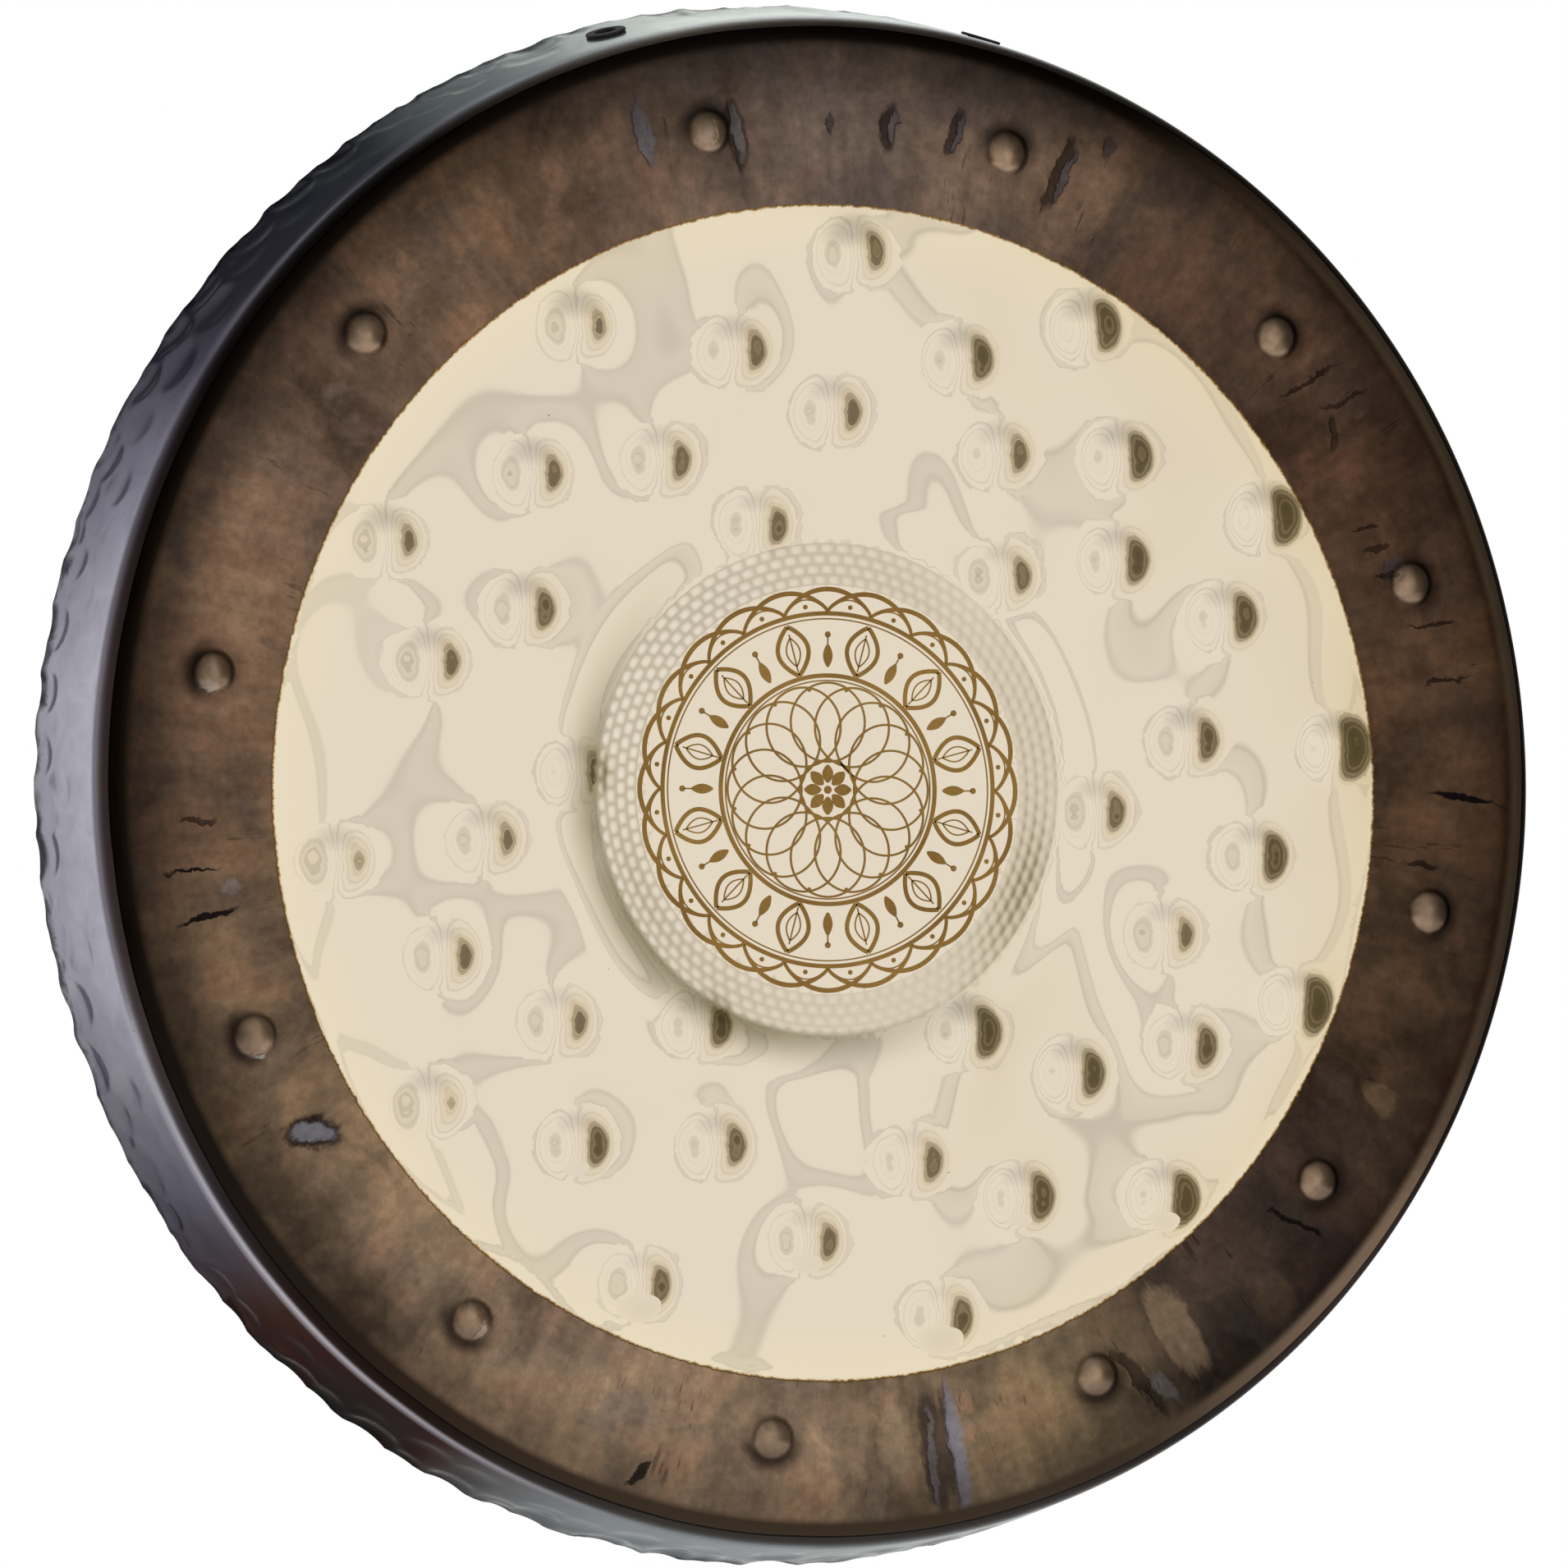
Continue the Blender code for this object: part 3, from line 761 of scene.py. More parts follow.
def forgedBronze():
    # Bell bronze, hammered hot. The face is buffed to a mirror. The band and the rim keep their fire skin,
    # which is brown and dull with a metal sheen.
    material, add = newMaterial("forgedBronze")
    place = add("TexCoord").outputs["Object"]
    centred = add("VectorMath SUBTRACT", place, axisPlace)
    depth = add("SeparateXYZ", centred).outputs["Y"]
    flat = add("VectorMath MULTIPLY", centred, (1.0, 0.0, 1.0))
    radius = add("VectorMath LENGTH", flat)
    heading = add("VectorMath NORMALIZE", flat)
    split = add("SeparateXYZ", flat)
    turn = add("Math ARCTAN2", split.outputs["X"], split.outputs["Z"])
    clock = add("Math MULTIPLY_ADD", turn, 1 / (2 * math.pi), 0.5)

    # polar cloth: long along the radius, short round the gong, with no seam
    around = add("VectorMath SCALE", heading, bandRing)
    inward = add("Math MULTIPLY", radius, finish["radialStretch"])
    polar = add("VectorMath ADD", around, add("CombineXYZ", 0.0, inward))

    broad = add("TexNoise", centred, inputs=noises["broad"])
    patchy = add("TexNoise", centred, inputs=noises["patchy"])
    fine = add("TexNoise", centred, inputs=noises["fine"])
    grain = add("TexNoise", polar, inputs=noises["grain"])

    # fire skin of the band: its tone runs round the gong, and the heat clouded it
    tone = add("ValToRGB", clock, stops=allRound(bandTones))
    cloud = add("Math MULTIPLY_ADD", patchy, 0.5, broad)
    cloud = add("ValToRGB", cloud, stops=list(zip((0.58, 0.74, 0.92), finish["bandShades"])))
    redPatch = add("MapRange SMOOTHSTEP", patchy, 0.50, 0.66, 0.0, 0.5)
    cloud = add("Mix RGBA", redPatch, cloud, linear(finish["redShare"]))
    greyPatch = add("MapRange SMOOTHSTEP", patchy, 0.44, 0.34, 0.0, 0.6)
    cloud = add("Mix RGBA", greyPatch, cloud, linear(finish["greyShare"]))
    tone = add("Mix RGBA", 1.0, tone, cloud, blend_type="MULTIPLY")
    sootAndShade = add("MapRange", fine, 0.35, 0.70, 0.80, 1.14)
    streak = add("MapRange", grain, 0.30, 0.70, 0.82, 1.16)
    shade = add("Math MULTIPLY", sootAndShade, streak)
    shade = add("Math MULTIPLY", shade, finish["bandGain"])

    # painted shade: darker towards the bend, most of all on the upper left
    upLeft = add("VectorMath DOT_PRODUCT", heading, (-0.8, 0.0, 0.6))
    upLeft = add("MapRange SMOOTHSTEP", upLeft, -0.5, 0.4)
    least = add("Math MULTIPLY_ADD", upLeft, -0.22, 0.52)
    outward = add("MapRange SMOOTHSTEP", radius, *zones["bandFade"], 1.0, least)
    shade = add("Math MULTIPLY", shade, outward)

    # radial wrinkles, in clusters
    wrinkle = add("TexNoise", polar, inputs=noises["wrinkle"])
    wrinkle = add("MapRange SMOOTHSTEP", wrinkle, 0.60, 0.68)
    cluster = add("TexNoise", centred, inputs=noises["cluster"])
    cluster = add("MapRange SMOOTHSTEP", cluster, 0.53, 0.63)
    wrinkled = add("Math MULTIPLY", wrinkle, cluster)
    beforeBend = add("MapRange", radius, *zones["wrinkleEnd"])
    wrinkled = add("Math MULTIPLY", wrinkled, beforeBend)
    dug = add("Math MULTIPLY_ADD", wrinkled, -0.5, 1.0)
    shade = add("Math MULTIPLY", shade, dug)
    relief = add("Math MULTIPLY", wrinkled, -0.2)

    # named scars and painted highlights, torn by a noise so that none is a plain oval
    tear = add("TexNoise", centred, inputs=noises["tear"]).outputs["Color"]
    tear = add("VectorMath SUBTRACT", tear, (0.5, 0.5, 0.5))
    torn = add("VectorMath MULTIPLY_ADD", tear, (finish["tornBy"], 0.0, finish["tornBy"]), centred)
    for angle, markRadius, length, width, lean, hexCode, strength in scarsAndHighlights:
        x, z = clockPoint(markRadius, angle)
        turned = add("VectorRotate", torn, (x, 0.0, z), -math.radians(angle + lean), rotation_type="Y_AXIS")
        wide, long = 2000 / width, 2000 / length
        local = add("VectorMath MULTIPLY_ADD", turned, (wide, 0.0, long), (-x * wide, 0.0, -z * long))
        spread = add("VectorMath LENGTH", local)
        ragged = add("Math MULTIPLY_ADD", grain, 1.5, spread)
        mask = add("MapRange SMOOTHSTEP", ragged, 1.80, 1.35, 0.0, strength)
        tone = add("Mix RGBA", mask, tone, underGain(hexCode))
        relief = add("Math MULTIPLY_ADD", mask, -0.8, relief)

    # dark bosses: painted shade round each one, deepest on its outer side
    offset = add("Attribute", attribute_name="bossOffset").outputs["Vector"]
    away = add("Attribute", attribute_name="bossAway").outputs["Fac"]
    outer = add("VectorMath DOT_PRODUCT", offset, heading)
    outer = add("MapRange SMOOTHSTEP", outer, *zones["outerSide"], 0.25, 0.9)
    corner = add("MapRange SMOOTHSTEP", away, *zones["sootAndShade"])
    bossShade = add("Math MULTIPLY", corner, outer)
    tone = add("Mix RGBA", bossShade, tone, linear(finish["bossShadeTone"]))
    # the top of each boss is scuffed paler, and a painted highlight lightens its inner side
    ragged = add("Math MULTIPLY_ADD", patchy, 0.004, away)
    wornAndLit = add("MapRange SMOOTHSTEP", ragged, *zones["wornAndLitTop"], 0.0, 0.75)
    lit = add("Math MULTIPLY_ADD", outer, -0.65, 1.1)
    wornAndLit = add("Math MULTIPLY", wornAndLit, lit, use_clamp=True)
    tone = add("Mix RGBA", wornAndLit, tone, underGain(finish["bossTone"]))
    band = add("VectorMath SCALE", tone, shade)

    # the bend: near black inside one thin dark line, fading over brown into the wall's colour outside it
    bend = add("MapRange SMOOTHSTEP", depth, *zones["bend"])
    # the black is painted shade, darkest on the upper left and lighter towards the right
    bendTone = add("Mix RGBA", upLeft, linear(finish["bandTilted"]), linear(finish["bendTone"]))
    facing = add("SeparateXYZ", heading).outputs
    toRight = add("MapRange SMOOTHSTEP", facing["X"], 0.40, 0.85)
    bendTone = add("Mix RGBA", toRight, bendTone, linear(finish["bandRight"]))
    skin = add("Mix RGBA", bend, band, bendTone)
    onWall = add("MapRange SMOOTHSTEP", depth, *zones["wall"])
    wobble = add("TexNoise", around, inputs=noises["wobble"])
    lineDepth = add("Math MULTIPLY_ADD", wobble, finish["lineWobble"], depth)
    line = add("Math COMPARE", lineDepth, *finish["bendLine"])
    outside = add("MapRange SMOOTHSTEP", lineDepth, *zones["brown"], 0.0, 0.85)

    # the wall: painted reflections of the studio over its heat tint, painted lighter towards the bend
    wall = add("ValToRGB", clock, stops=allRound(wallTones))
    scale = add("TexNoise", centred, inputs=noises["scale"])
    wallShade = add("MapRange", scale, 0.30, 0.70, 0.88, 1.06)
    inwards = add("MapRange", depth, *zones["wallFade"], 1.10, 0.80)
    wallShade = add("Math MULTIPLY", wallShade, inwards)
    wallTone = add("VectorMath SCALE", wall, wallShade)
    backEdge = add("Math MULTIPLY_ADD", scale, 0.030, depth)
    scorched = add("MapRange SMOOTHSTEP", backEdge, *zones["scorched"], 0.0, 0.75)
    wallTone = add("Mix RGBA", scorched, wallTone, linear(finish["scorchTone"]))
    brown = add("Mix RGBA", 1.0, wall, linear(finish["brownShare"]), blend_type="MULTIPLY")
    skin = add("Mix RGBA", outside, skin, brown)
    skin = add("Mix RGBA", onWall, skin, wallTone)
    skin = add("Mix RGBA", line, skin, linear(finish["lineTone"]))
    # a painted highlight along the wall's edge next to the bend
    glint = add("ValToRGB", clock, stops=glints)
    paintedGlint = add(
        "ValToRGB", add("MapRange", lineDepth, *zones["paintedGlint"]),
        stops=[(0.0, 0.0), (0.28, 1.0), (0.50, 0.6), (1.0, 0.0)],
    )
    paintedGlint = add("Math MULTIPLY", glint, paintedGlint)
    skin = add("Mix RGBA", paintedGlint, skin, linear(finish["glintTone"]))

    # the polish, warmer towards its edge, with a ragged golden line where the buff stopped
    dropped = add("VectorMath SUBTRACT", flat, (0.0, 0.0, -gong["polishDrop"]))
    fromPolish = add("VectorMath LENGTH", dropped)
    teeth = add("TexNoise", centred, inputs=noises["teeth"])
    toothed = add("Math MULTIPLY_ADD", teeth, 2 * finish["ragged"], fromPolish)
    stopRadius = polishRadius + finish["ragged"]
    unpolished = add("MapRange", toothed, stopRadius - 0.0002, stopRadius + 0.0002)
    burnt = add("MapRange SMOOTHSTEP", toothed, *(stopRadius - inset for inset in finish["burntLine"]))
    warm = add("MapRange SMOOTHSTEP", fromPolish, *zones["warmPolish"], 0.0, 0.5)
    mirror = add("Mix RGBA", warm, linear(finish["polishTone"]), linear(finish["polishWarm"]))
    pits = add("TexVoronoi", centred, inputs={"Scale": 1000 / 17, "Randomness": 1.0}, feature="F1")
    pitSize = add("SeparateXYZ", pits.outputs["Color"]).outputs["X"]
    pitSize = add("MapRange", pitSize, 0.72, 1.0, 0.0, 0.030)
    pit = add("Math LESS_THAN", pits.outputs["Distance"], pitSize)
    mirror = add("Mix RGBA", pit, mirror, linear(finish["pitTone"]))
    mirror = add("Mix RGBA", burnt, mirror, linear(finish["edgeLine"]))

    # the flank's chased beads are only brushed, and painted shade lies in the corner at its foot, left and
    # below
    fromDisc = add("VectorMath SUBTRACT", flat, (discX, 0.0, discZ))
    reach = add("VectorMath LENGTH", fromDisc)
    onFlank = add("Math COMPARE", reach, (gong["discRadius"] + footRadius) / 2, gong["flankWidth"] / 2)
    leftBelow = add("VectorMath NORMALIZE", fromDisc)
    leftBelow = add("VectorMath DOT_PRODUCT", leftBelow, (-0.77, 0.0, -0.64))
    leftBelow = add("MapRange SMOOTHSTEP", leftBelow, -0.1, 0.75)
    inCorner = add("MapRange SMOOTHSTEP", reach, footRadius + finish["footShadeReach"], footRadius - 0.002)
    outOfFlank = add("MapRange", reach, footRadius - 0.0035, footRadius)
    footShade = add("Math MULTIPLY", leftBelow, inCorner)
    footShade = add("Math MULTIPLY", footShade, outOfFlank)
    cloud = add("MapRange", broad, 0.3, 0.6, 0.5, 1.0)
    footShade = add("Math MULTIPLY", footShade, cloud)
    mirror = add("Mix RGBA", footShade, mirror, linear(finish["footShadeTone"]))

    # painted shade between the beads and painted highlights on their tops, both most on the left
    beads = add("Attribute", attribute_name="beadShare").outputs["Fac"]
    toLeft = add("VectorMath NORMALIZE", fromDisc)
    toLeft = add("VectorMath DOT_PRODUCT", toLeft, (-0.96, 0.0, 0.28))
    toLeft = add("MapRange", toLeft, -0.6, 0.9, 0.10, 0.75)
    beadShade = add("MapRange", beads, 0.62, 0.0)
    beadShade = add("Math MULTIPLY", beadShade, toLeft)
    beadShade = add("Math MULTIPLY", beadShade, onFlank)
    mirror = add("Mix RGBA", beadShade, mirror, linear(finish["beadShadeTone"]))
    beadHighlight = add("MapRange", beads, 0.40, 0.90)
    beadHighlight = add("Math MULTIPLY", beadHighlight, toLeft)
    beadHighlight = add("Math MULTIPLY", beadHighlight, onFlank)
    mirror = add("Mix RGBA", beadHighlight, mirror, linear(finish["beadHighlightTone"]))
    colour = add("Mix RGBA", unpolished, mirror, skin)

    # how shiny each zone is
    bandRough = add("MapRange", patchy, 0.3, 0.7, 0.40, 0.27)
    wallRough = add("MapRange", scale, 0.3, 0.7, 0.20, 0.12)
    skinRough = add("Mix", onWall, bandRough, wallRough)
    mirrorRough = add("MapRange", burnt, 0.0, 1.0, finish["polishRoughness"], 0.30)
    mirrorRough = add("Mix", onFlank, mirrorRough, 0.25)
    rough = add("Mix", unpolished, mirrorRough, skinRough)
    skinMetal = add("Mix", onWall, 0.80, 0.90)
    metal = add("Mix", unpolished, 1.0, skinMetal)

    # seen flat along it, the thick skin stays dull where it is dark, least so at the top and the bottom
    upright = add("Math ABSOLUTE", facing["Z"])
    upright = add("MapRange SMOOTHSTEP", upright, 0.84, 0.97, 0.30, 0.60)
    dull = add("Mix RGBA", upright, skin, linear(1.0))
    glancing = add("Mix RGBA", unpolished, linear(1.0), dull)

    # hammer and scale texture of the fire skin, none on the polish
    fineRelief = add("Math MULTIPLY_ADD", fine, 0.30, relief)
    patchRelief = add("Math MULTIPLY_ADD", patchy, 0.9, fineRelief)
    offWall = add("Math MULTIPLY_ADD", onWall, -0.75, unpolished, use_clamp=True)
    height = add("Math MULTIPLY", patchRelief, offWall)
    normal = add("Bump", inputs={"Strength": 1.0, "Distance": finish["bumpDepth"], "Height": height})
    shader = add(
        "BsdfPrincipled",
        inputs={
            "Base Color": colour, "Metallic": metal, "Roughness": rough, "Specular Tint": glancing,
            "Normal": normal,
        },
    )
    add("OutputMaterial", shader)
    return material


def rawBronze():
    # The back is left as it came from the fire: brown scale, hammered and brushed, with warm metal showing.
    material, add = newMaterial("rawBronze")
    place = add("TexCoord").outputs["Object"]
    centred = add("VectorMath SUBTRACT", place, axisPlace)
    broad = add("TexNoise", centred, inputs={"Scale": 1000 / 90, "Detail": 6.0, "Roughness": 0.6})
    blows = add("TexVoronoi", centred, inputs={"Scale": 1000 / 16}, feature="SMOOTH_F1")
    fine = add("TexNoise", centred, inputs={"Scale": 1000 / 4, "Detail": 6.0})
    tone = add(
        "ValToRGB", broad, stops=[(0.30, "#4C3B2B"), (0.50, "#6E563B"), (0.64, "#8A6C45"), (0.78, "#A78450")]
    )
    shade = add("MapRange", fine, 0.3, 0.7, 0.75, 1.15)

    # painted shade in the hollows behind the bosses and in the step behind the disc's flank
    away = add("Attribute", attribute_name="bossAway").outputs["Fac"]
    hollowShade = add("MapRange SMOOTHSTEP", away, *zones["hollowShade"], 1.0, 0.42)
    fromDisc = add("VectorMath SUBTRACT", centred, (discX, 0.0, discZ))
    fromDisc = add("VectorMath MULTIPLY", fromDisc, (1.0, 0.0, 1.0))
    reach = add("VectorMath LENGTH", fromDisc)
    step = add("Math SUBTRACT", reach, (gong["discRadius"] + footRadius) / 2)
    step = add("Math ABSOLUTE", step)
    step = add("MapRange SMOOTHSTEP", step, *zones["discStepShade"], 1.0, 0.50)
    shade = add("Math MULTIPLY", shade, hollowShade)
    shade = add("Math MULTIPLY", shade, step)
    colour = add("VectorMath SCALE", tone, shade)
    rough = add("MapRange", broad, 0.3, 0.7, 0.50, 0.34)
    height = add("Math MULTIPLY_ADD", fine, 0.15, blows)
    normal = add("Bump", inputs={"Strength": 0.8, "Distance": finish["backBumpDepth"], "Height": height})
    shader = add(
        "BsdfPrincipled", inputs={"Base Color": colour, "Metallic": 0.7, "Roughness": rough, "Normal": normal}
    )
    add("OutputMaterial", shader)
    return material


sheet = forgeBlank()
bossPoints = bossPointCloud()
cutters = holeCutters()
applyTree(sheet, forgeMarksTree(), {
    "Boss Points": bossPoints,
    "Hole Cutters": cutters,
    "Face Boss Radius": gong["faceBoss"][0],
    "Face Boss Rise": gong["faceBoss"][1],
    "Dark Boss Radius": gong["darkBoss"][0],
    "Dark Boss Rise": gong["darkBoss"][1],
    "Disc Radius": gong["discRadius"],
    "Flank Width": gong["flankWidth"],
    "Bead Rows": float(gong["beadRows"]),
    "Beads Per Row": float(gong["beadsPerRow"]),
    "Bead Rise": gong["beadRise"],
    "Front Material": forgedBronze(),
    "Back Material": rawBronze(),
})
for helper in (bossPoints, cutters):
    bpy.data.objects.remove(helper)
sheet.data.transform(Matrix.Translation(axisPlace))
sheet.data.shade_smooth()
sheet.data.set_sharp_from_angle(angle=math.radians(gong["crease"]))
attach(sheet, "root")
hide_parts("gong_plate")
print("gong sheet:", len(sheet.data.polygons), "faces")


# A rosette of compass work on the disc, printed in golden lacquer. Millimetres.
rosette = {
    "film": 0.10,  # thickness of the thinnest motif; each next one is a step thicker
    "filmStep": 0.012,
    "copyStep": 0.006,  # and each copy of a motif is this much prouder than the last
    "rooted": 0.25,  # how far the film reaches into the disc
    "bold": 2.3,
    "fine": 0.75,
}


def filmMesh(name, shapes, thickness):
    # flat outlines and ribbons as one thin film on the disc; each shape is (left side, right side, closed)
    bm = bmesh.new()
    top = -gong["discRise"] - thickness / 1000
    foot = -gong["discRise"] + rosette["rooted"] / 1000
    for left, right, closed in shapes:
        count = len(left)
        rows = []
        for depth in (top, foot):
            for side in (left, right):
                rows.append([bm.verts.new((x / 1000, depth, z / 1000)) for x, z in side])
        topLeft, topRight, footLeft, footRight = rows
        for i in range(count if closed else count - 1):
            j = (i + 1) % count
            bm.faces.new((topLeft[i], topLeft[j], topRight[j], topRight[i]))
            bm.faces.new((footLeft[i], footRight[i], footRight[j], footLeft[j]))
            bm.faces.new((topLeft[i], footLeft[i], footLeft[j], topLeft[j]))
            bm.faces.new((topRight[j], footRight[j], footRight[i], topRight[i]))
        if not closed:
            for i in (0, -1):
                bm.faces.new((topLeft[i], topRight[i], footRight[i], footLeft[i]))
    return newPiece(name, newMesh(bm, name, weld=0.000001))


def ribbon(points, width, closed=False):
    # a drawn line of even width along points, or of a width given for each point
    points = np.array(points, float)
    if closed:
        along = np.roll(points, -1, axis=0) - np.roll(points, 1, axis=0)
    else:
        along = np.gradient(points, axis=0)
    along /= np.linalg.norm(along, axis=1)[:, None]
    widths = np.array(width) * np.ones(len(points))
    across = np.stack([-along[:, 1], along[:, 0]], axis=1) * widths[:, None] / 2
    return points + across, points - across, closed


def blob(radius, centre, count=20):
    # a filled dot, as two half outlines
    turn = np.linspace(0, math.pi, count)
    x, z = radius * np.sin(turn), radius * np.cos(turn)
    left = np.stack([centre[0] - x, centre[1] + z], axis=1)
    right = np.stack([centre[0] + x, centre[1] + z], axis=1)
    return left[1:-1], right[1:-1], False


def lens(low, high, width, count=25):
    # the two sides of a pointed leaf that stands on the radius, from its foot to its tip
    share = np.linspace(0, 1, count)
    x = width / 2 * np.sin(math.pi * share) ** 0.85
    z = low + (high - low) * share
    return np.stack([-x, z], axis=1), np.stack([x, z], axis=1)


def polarLine(radii, angles):
    return clockPoint(np.array(radii), np.array(angles))


def rosetteMotifs():
    # name, how many times round, turn of the first one in degrees, shapes
    bold, fine = rosette["bold"], rosette["fine"]
    swing = np.linspace(-1, 1, 41)
    arc = polarLine(92.5 + 11.5 * np.cos(swing * math.pi / 2) ** 0.75, swing * 15)
    innerArc = polarLine(92.5 + 6.5 * np.cos(swing * math.pi / 2) ** 0.9, swing * 7.5)
    leafLeft, leafRight = lens(61, 87, 17)
    veinLeft, veinRight = lens(66, 81, 7.5)
    petalLeft, petalRight = lens(3.2, 13.4, 6.0)
    spokeShare = np.linspace(0, 1, 9)
    budLeft, budRight = lens(63, 76, 5.2)
    hoop = ring(20.5, 72, (0.0, 35.0))
    return (
        ("outerArcade", 24, 0.0, [ribbon(arc, bold * (0.75 + 0.35 * np.cos(swing * math.pi / 2)))]),
        ("arcadeLining", 24, 7.5, [ribbon(innerArc, fine)]),
        ("arcadeDots", 24, 7.5, [blob(1.25, (0.0, 95.3))]),
        ("bandLine", 1, 0.0, [ribbon(ring(91.4, 360), bold, True), ribbon(ring(88.6, 360), fine, True)]),
        ("leaves", 12, 15.0, [ribbon(leafLeft, bold), ribbon(leafRight, bold)]),
        ("leafVeins", 12, 15.0, [ribbon(veinLeft, fine), ribbon(veinRight, fine), ribbon(
            np.stack([0 * spokeShare, 63 + 20 * spokeShare], axis=1), fine
        )]),
        ("buds", 12, 0.0, [(budLeft[1:-1], budRight[1:-1], False), blob(1.6, (0.0, 80.5)), ribbon(
            np.stack([0 * spokeShare, 75.5 + 4 * spokeShare], axis=1), fine
        )]),
        ("innerLine", 1, 0.0, [ribbon(ring(59.2, 300), bold, True), ribbon(ring(56.6, 300), fine, True)]),
        ("hoops", 16, 0.0, [ribbon(hoop, 1.15, True)]),
        ("heartLine", 1, 0.0, [ribbon(ring(15.2, 120), 1.4, True)]),
        ("daisy", 8, 0.0, [(petalLeft[1:-1], petalRight[1:-1], False)]),
        ("heart", 1, 0.0, [blob(2.1, (0.0, 0.0))]),
        ("hoopDots", 16, 11.25, [blob(1.0, (0.0, 52.6))]),
    )


def rosetteTree(names):
    # sets every motif round the middle of the disc, and joins them
    tree, add = newGroup(
        "rosette", Object=[name + " Motif" for name in names], Int=[name + " Count" for name in names],
        Float=[name + " Turn" for name in names], Material=["Material"],
    )
    given = add("NodeGroupInput").outputs
    joined = add("GeometryNodeJoinGeometry")
    index = add("GeometryNodeInputIndex")
    for name in names:
        motif = add(
            "GeometryNodeObjectInfo", given[name + " Motif"], transform_space="ORIGINAL"
        ).outputs["Geometry"]
        prouder = add("Math MULTIPLY", index, -rosette["copyStep"] / 1000)
        spot = add("CombineXYZ", discX, prouder, discZ)
        spots = add("GeometryNodePoints", given[name + " Count"], spot)
        step = add("Math DIVIDE", 2 * math.pi, given[name + " Count"])
        turn = add("Math MULTIPLY_ADD", index, step, given[name + " Turn"])
        spin = add("CombineXYZ", 0.0, turn)
        copies = add(
            "GeometryNodeInstanceOnPoints", inputs={"Points": spots, "Instance": motif, "Rotation": spin}
        )
        tree.links.new(copies.outputs[0], joined.inputs[0])
    whole = add("GeometryNodeRealizeInstances", joined)
    painted = add("GeometryNodeSetMaterial", inputs={"Geometry": whole, "Material": given["Material"]})
    add("NodeGroupOutput", painted)
    return tree


def goldenLacquer():
    # Screened lacquer, golden brown and satin, a little thin in places so that the bronze warms it.
    material, add = newMaterial("goldenLacquer")
    place = add("TexCoord").outputs["Object"]
    broad = add("TexNoise", place, inputs={"Scale": 1000 / 40, "Detail": 3.0})
    fine = add("TexNoise", place, inputs={"Scale": 1000 / 1.5, "Detail": 4.0})
    both = add("Math MULTIPLY_ADD", fine, 0.5, broad)
    colour = add(
        "ValToRGB", both,
        stops=[(0.50, "#8A6422"), (0.75, "#9A7430"), (1.0, "#AA843E")],
    )
    rough = add("MapRange", fine, 0.0, 1.0, 0.36, 0.52)
    shader = add("BsdfPrincipled", inputs={"Base Color": colour, "Metallic": 0.35, "Roughness": rough})
    add("OutputMaterial", shader)
    return material


motifs = rosetteMotifs()
values = {"Material": goldenLacquer()}
films = []
for step, (name, count, turn, shapes) in enumerate(motifs):
    film = filmMesh(name, shapes, rosette["film"] + rosette["filmStep"] * step)
    films.append(film)
    values.update({name + " Motif": film, name + " Count": count, name + " Turn": math.radians(turn)})
discRosette = newPiece("discRosette", bpy.data.meshes.new("discRosette"))
applyTree(discRosette, rosetteTree([motif[0] for motif in motifs]), values)
for film in films:
    bpy.data.objects.remove(film)
discRosette.data.transform(Matrix.Translation(axisPlace))
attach(discRosette, "root")
print("rosette:", len(discRosette.data.polygons), "faces")


# Cord grommets, at the CAD parts' sizes but turned round and soft-edged
grommet = {
    "fitGap": 0.0003,
    "boreRadius": 0.0056,
    "flangeThickness": 0.0014,
    "edge": 0.0005,
    "edgeSteps": 4,
    "crease": 40.0,
    "steps": 56,
}


def roundedHalf():
    # half section of a grommet above the middle of the sheet, from the waist over the flange to the bore
    waist = gong["holeRadius"] - grommet["fitGap"]
    flange = gong["holeRadius"] + gong["flangeLip"]
    seat = gong["sheet"] / 2 + grommet["fitGap"]
    end = seat + grommet["flangeThickness"]
    edge = grommet["edge"]
    points = [(waist, seat), (flange - edge / 2, seat), (flange, seat + edge / 2)]
    for centre, first in ((flange - edge, 0.0), (grommet["boreRadius"] + edge, math.pi / 2)):
        for step in range(grommet["edgeSteps"] + 1):
            turn = first + math.pi / 2 * step / grommet["edgeSteps"]
            points.append((centre + edge * math.cos(turn), end - edge + edge * math.sin(turn)))
    return points


def mouldedRubber():
    # Moulded EPDM, matt black, with the faint bloom and drag marks that a cord leaves.
    material, add = newMaterial("mouldedRubber")
    place = add("TexCoord").outputs["Object"]
    bloom = add("TexNoise", place, inputs={"Scale": 1000 / 4, "Detail": 5.0})
    grit = add("TexNoise", place, inputs={"Scale": 1000 / 0.5, "Detail": 2.0})
    colour = add("ValToRGB", bloom, stops=[(0.35, "#161616"), (0.70, "#2C2B29")])
    rough = add("MapRange", bloom, 0.0, 1.0, 0.52, 0.74)
    normal = add("Bump", inputs={"Strength": 0.3, "Distance": 0.0001, "Height": grit})
    shader = add("BsdfPrincipled", inputs={"Base Color": colour, "Roughness": rough, "Normal": normal})
    add("OutputMaterial", shader)
    return material


